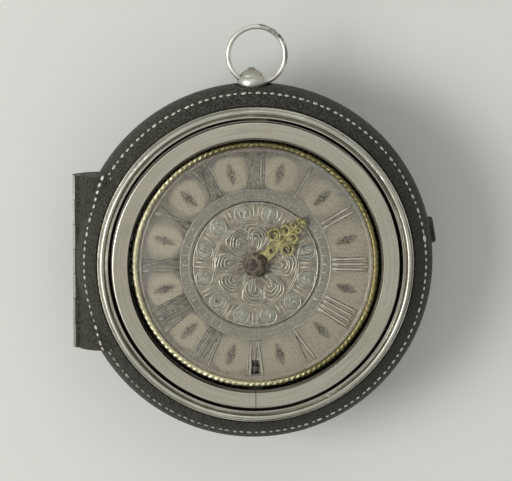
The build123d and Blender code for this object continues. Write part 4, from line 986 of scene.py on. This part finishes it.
# %% Frames and hours of the alarm
ALARM_TURN = 14.5
FRAME_RADIUS, FRAME_SIZE, FRAME_STRETCH = 9.95, 1.5, 1.06
PILLAR_OFF, PILLAR_HALF = 0.42, 1.5
STUD_ANGLE = -137.0
# Radius and share of the relief of the lines round the disc.
DISC_LINES = ((8.1, 0.8), (7.75, 0.4), (11.75, 0.35))
alarm_hours, frame_grounds = bmesh.new(), bmesh.new()


def frame_ring(angle, share):
    """Oval round the middle of a frame, at a share of its size."""
    return [turned_to(angle, FRAME_RADIUS, x * FRAME_SIZE * share, y * FRAME_SIZE * FRAME_STRETCH * share)
            for x, y in circle((0, 0), 1, 20)]


for hour in range(1, 13):
    angle = 90 + ALARM_TURN - 30 * hour
    add_ridge(alarm_hours, frame_ring(angle, 1), 0.22, RELIEF, disc_face, closed=True)
    add_ridge(frame_grounds, frame_ring(angle, 0.5), FRAME_SIZE * 0.96, 0.03, disc_face, closed=True)
    for side in (-1, 1):
        pillar = [turned_to(angle + 15, FRAME_RADIUS, side * PILLAR_OFF, up)
                  for up in (-PILLAR_HALF, 0, PILLAR_HALF)]
        add_ridge(alarm_hours, pillar, 0.2, RELIEF * 0.5, disc_face)
    if abs((angle - STUD_ANGLE + 180) % 360 - 180) < 12:
        continue
    word = str(hour)
    for place, digit in enumerate(word):
        left = (place - len(word) / 2) * DIGIT_PITCH * DIGIT_WIDTH
        stroke = [turned_to(angle, FRAME_RADIUS, left + x * DIGIT_WIDTH, (y - 0.5) * DIGIT_HEIGHT)
                  for x, y in rounded(DIGITS[digit], 4)]
        add_ridge(alarm_hours, stroke, 0.2, RELIEF * 0.9, disc_face)
for radius, share in DISC_LINES:
    add_ridge(alarm_hours, circle((0, 0), radius, 120), 0.14, RELIEF * share, disc_face, closed=True)
make_piece("alarm_hours", alarm_hours, relief_silver, "alarm_disc")
make_piece("alarm_grounds", frame_grounds, frame_silver, "alarm_disc")

# %% [markdown]
# ## Rosette
#
# Eight leaves of five flutes stand round the hand and lean in turn to the left and right. One list of points
# is scaled for each flute, which is easier to change than forty drawn lines, and a dark line inside it is
# painted shade in the flute's hollow. The highest flute stays below the hand, which turns over it.

# %% Rosette of leaves
LEAF_COUNT = 8
LEAF_TURN = 84.0
LEAF_FOOT = 2.6
# Half width, tip and share of the height of the flutes, from the outer one to the inner one.
FLUTES = ((2.3, 7.55, 1.0), (1.85, 7.05, 1.15), (1.4, 6.5, 1.2), (0.95, 5.85, 1.1), (0.5, 5.1, 0.9))
FLUTE = ((-0.22, 0.0), (-0.72, 0.3), (-1.0, 0.62), (-0.8, 0.9), (-0.15, 1.0), (0.55, 0.93), (0.9, 0.68),
         (0.7, 0.42))
FLUTE_RISE, FLUTE_LINE = 0.38, 0.24
SHADE_LINE, SHADE_IN, SHADE_DOWN = 0.19, 0.22, 0.27
SWIRL, SWIRL_REACH = 0.8, 7
rosette, shades = bmesh.new(), bmesh.new()


def flute_path(angle, side, half_width, tip):
    """Rounded flute of a leaf, closed at its tip and leaning to one side."""
    shape = [(half_width * x * side + wobble(angle + tip * 7 + y * 3, 0.3),
              LEAF_FOOT + (tip - LEAF_FOOT) * y + wobble(angle * 2 + half_width * 5 + x, 0.16))
             for x, y in FLUTE]
    return [turned_to(angle, 0, x + SWIRL * side * (y / SWIRL_REACH) ** 2, y) for x, y in rounded(shape, 4)]


for leaf in range(LEAF_COUNT):
    angle = LEAF_TURN + 360 * leaf / LEAF_COUNT + wobble(leaf, 3)
    side = 1 if leaf % 2 else -1
    for half_width, tip, share in FLUTES:
        add_ridge(rosette, flute_path(angle, side, half_width, tip), FLUTE_LINE, FLUTE_RISE * share,
                  disc_face, fade=0.35)
        # Painted shade: a dark line just inside each flute, where its hollow lies.
        add_ridge(shades, flute_path(angle, side, half_width - SHADE_IN, tip - SHADE_DOWN), SHADE_LINE,
                  RELIEF * 0.3, disc_face, fade=0.2)
make_piece("alarm_rosette", rosette, relief_silver, "alarm_disc")
make_piece("alarm_shades", shades, worn_wax_and_painted_shade, "alarm_disc")

# %% Dark lines of the alarm disc
DISC_RIM = 11.93
# Angle, start and end of the dashes beside the hand.
DASHES = ((20.5, 8.6, 10.6), (11.0, 8.7, 10.7), (-8.0, 9.1, 9.9))
SPOKES = 24
# Turn from the spoke's angle, and distance out, of its three points.
SPOKE_BEND = ((0, 2.5), (2, 3.1), (5, 3.6))
hollows = bmesh.new()
add_ridge(hollows, circle((0, 0), DISC_RIM, 140), 0.2, RELIEF * 0.5, disc_face, closed=True)
for angle, start, end in DASHES:
    dash = [polar(angle, radius) for radius in (start, (start + end) / 2, end)]
    add_ridge(hollows, dash, 0.3, RELIEF * 0.5, disc_face, fade=0.3)
for step in range(SPOKES):
    angle = 360 // SPOKES * step + wobble(step, 5)
    spoke = [polar(angle + bend, radius) for bend, radius in SPOKE_BEND]
    add_ridge(hollows, spoke, 0.3, RELIEF * 0.3, disc_face, fade=0.5)
make_piece("alarm_hollows", hollows, wax, "alarm_disc")

# %% Setting stud of the alarm disc
STUD_RADIUS, STUD_SIZE, STUD_SEAT = 10.1, 0.42, 0.95
stud = bmesh.new()
stud_centre = polar(STUD_ANGLE, STUD_RADIUS)
add_ridge(stud, circle(stud_centre, STUD_SIZE, 20), 0.3, RELIEF * 1.6, disc_face, closed=True)
add_ridge(stud, circle(stud_centre, STUD_SEAT, 24), 0.14, RELIEF * 0.6, disc_face, closed=True)
make_piece("alarm_stud", stud, bright_silver, "alarm_disc")

# %% [markdown]
# ## The pierced hand
#
# The single hand is a pierced brass blade: a tapered root and four pairs of scrolls that shrink towards the
# tip. The solid has its outline and holes, flat as it was sawn. The chaser then rounded each scroll, left a
# curl in the larger holes and raised a rib along the middle. Ridges on the solid add those, so the hand keeps
# its shape.

# %% Chasing of the hand
HAND_ANGLE = 43.2
hand_low, hand_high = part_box("hour_hand")
HAND_FOOT, HAND_TOP = hand_low.z / MM, hand_high.z / MM
HAND_RISE = 0.2
CHASED_FROM = HAND_TOP - 0.02
# Along, beside, outer radius and eye of the scrolls; along, beside, size, start and end size of the curls.
SCROLLS = ((6.48, 1.79, 1.40, 0.85), (8.58, 1.02, 1.15, 0.60), (10.35, 0.655, 0.655, 0.236),
           (11.79, 0.55, 0.60, 0.22))
CURLS = ((6.48, 1.79, 0.85, 200, 0.26), (8.58, 1.02, 0.60, 40, 0.2))
SCROLL_START, SCROLL_SWEEP, CURL_SWEEP, CURL_LINE = 235, 300, 250, 0.62
ROOT_EDGE = ((1.9, 1.05), (3.0, 1.0), (4.6, 0.82), (5.5, 0.55), (6.3, 0.28))
SIDE_LEAF = ((7.3, 0.25), (8.0, 1.35), (9.1, 1.95), (9.6, 1.2))
RIB = (4.7, 6.4, 8.4, 10.4, 12.3, 13.0)


def along_hand(path, side=1):
    """Points given along the hand and to its left, or to its right where side is -1."""
    return [turned_to(HAND_ANGLE, 0, -side * beside, along) for along, beside in path]


def curl(centre, start, sweep, outer, inner, count):
    """Spiral from an outer to an inner radius."""
    path = []
    for step in range(count + 1):
        x, y = polar(start + sweep * step / count, outer + (inner - outer) * step / count)
        path.append((centre[0] + x, centre[1] + y))
    return path


hand = bmesh.new()
for side in (1, -1):
    for along, beside, outer, eye in SCROLLS:
        ring = curl((along, beside), SCROLL_START, SCROLL_SWEEP, (outer + eye) / 2, (outer + eye) / 2.1, 22)
        add_ridge(hand, along_hand(ring, side), (outer - eye) * 0.8, HAND_RISE, CHASED_FROM, fade=0.3)
    for along, beside, size, start, end_size in CURLS:
        hook = curl((along, beside), start, CURL_SWEEP, size, end_size, 16)
        add_ridge(hand, along_hand(hook, side), CURL_LINE, HAND_TOP - HAND_FOOT, HAND_FOOT, fade=0.25)
        knob = along_hand([(along, beside)], side)[0]
        add_ridge(hand, circle(knob, end_size * 0.5, 10), end_size, HAND_TOP - HAND_FOOT, HAND_FOOT,
                  closed=True)
    add_ridge(hand, along_hand(rounded(ROOT_EDGE, 5), side), 0.34, HAND_RISE, CHASED_FROM)
    add_ridge(hand, along_hand(rounded(SIDE_LEAF, 5), side), 0.3, HAND_RISE, CHASED_FROM, fade=0.3)
add_ridge(hand, along_hand([(along, 0) for along in RIB]), 0.5, HAND_RISE, CHASED_FROM, fade=0.1)
make_piece("hand_chasing", hand, hand_gilt, "hour_hand")

# %% [markdown]
# ## Cap of the pendant
#
# The ball that carries the bow was turned on a lathe, a full dome with a small knob. The solid ends in a cone
# there. A turned shape is one outline spun round its axis, so the cap is rings of points from a short list
# of radii and heights. Its foot is higher where the bow passes, which leaves the bow free to swing.

# %% Turned cap
CAP_X, CAP_Z = -0.55, 19.5
CAP_OUTLINE = ((2.375, 35.28), (2.24, 35.47), (2.05, 35.67), (1.78, 35.9), (1.48, 36.11), (1.15, 36.31),
               (0.89, 36.44), (0.76, 36.49), (0.72, 36.6), (0.66, 36.74), (0.48, 36.84), (0.25, 36.88))
CAP_OVER_BOW = ((2.1, 35.52), (2.12, 35.6))
BOW_WAY = 1.2
CAP_SIDES = 48


def cap_point(row, side):
    """Point of the cap, which has another foot over the bow's way."""
    reach, height = CAP_OUTLINE[row]
    turn = 2 * pi * side / CAP_SIDES
    if row < len(CAP_OVER_BOW) and abs(reach * sin(turn)) < BOW_WAY:
        reach, height = CAP_OVER_BOW[row]
    return Vector((CAP_X + reach * cos(turn), height, CAP_Z + reach * sin(turn))) * MM


cap = bmesh.new()
cap_rows = [[cap.verts.new(cap_point(row, side)) for side in range(CAP_SIDES)]
            for row in range(len(CAP_OUTLINE))]
join_rows(cap, cap_rows)
cap.faces.new(cap_rows[0])
cap.faces.new(cap_rows[-1])
make_piece("pendant_cap", cap, ball_silver, "watch")
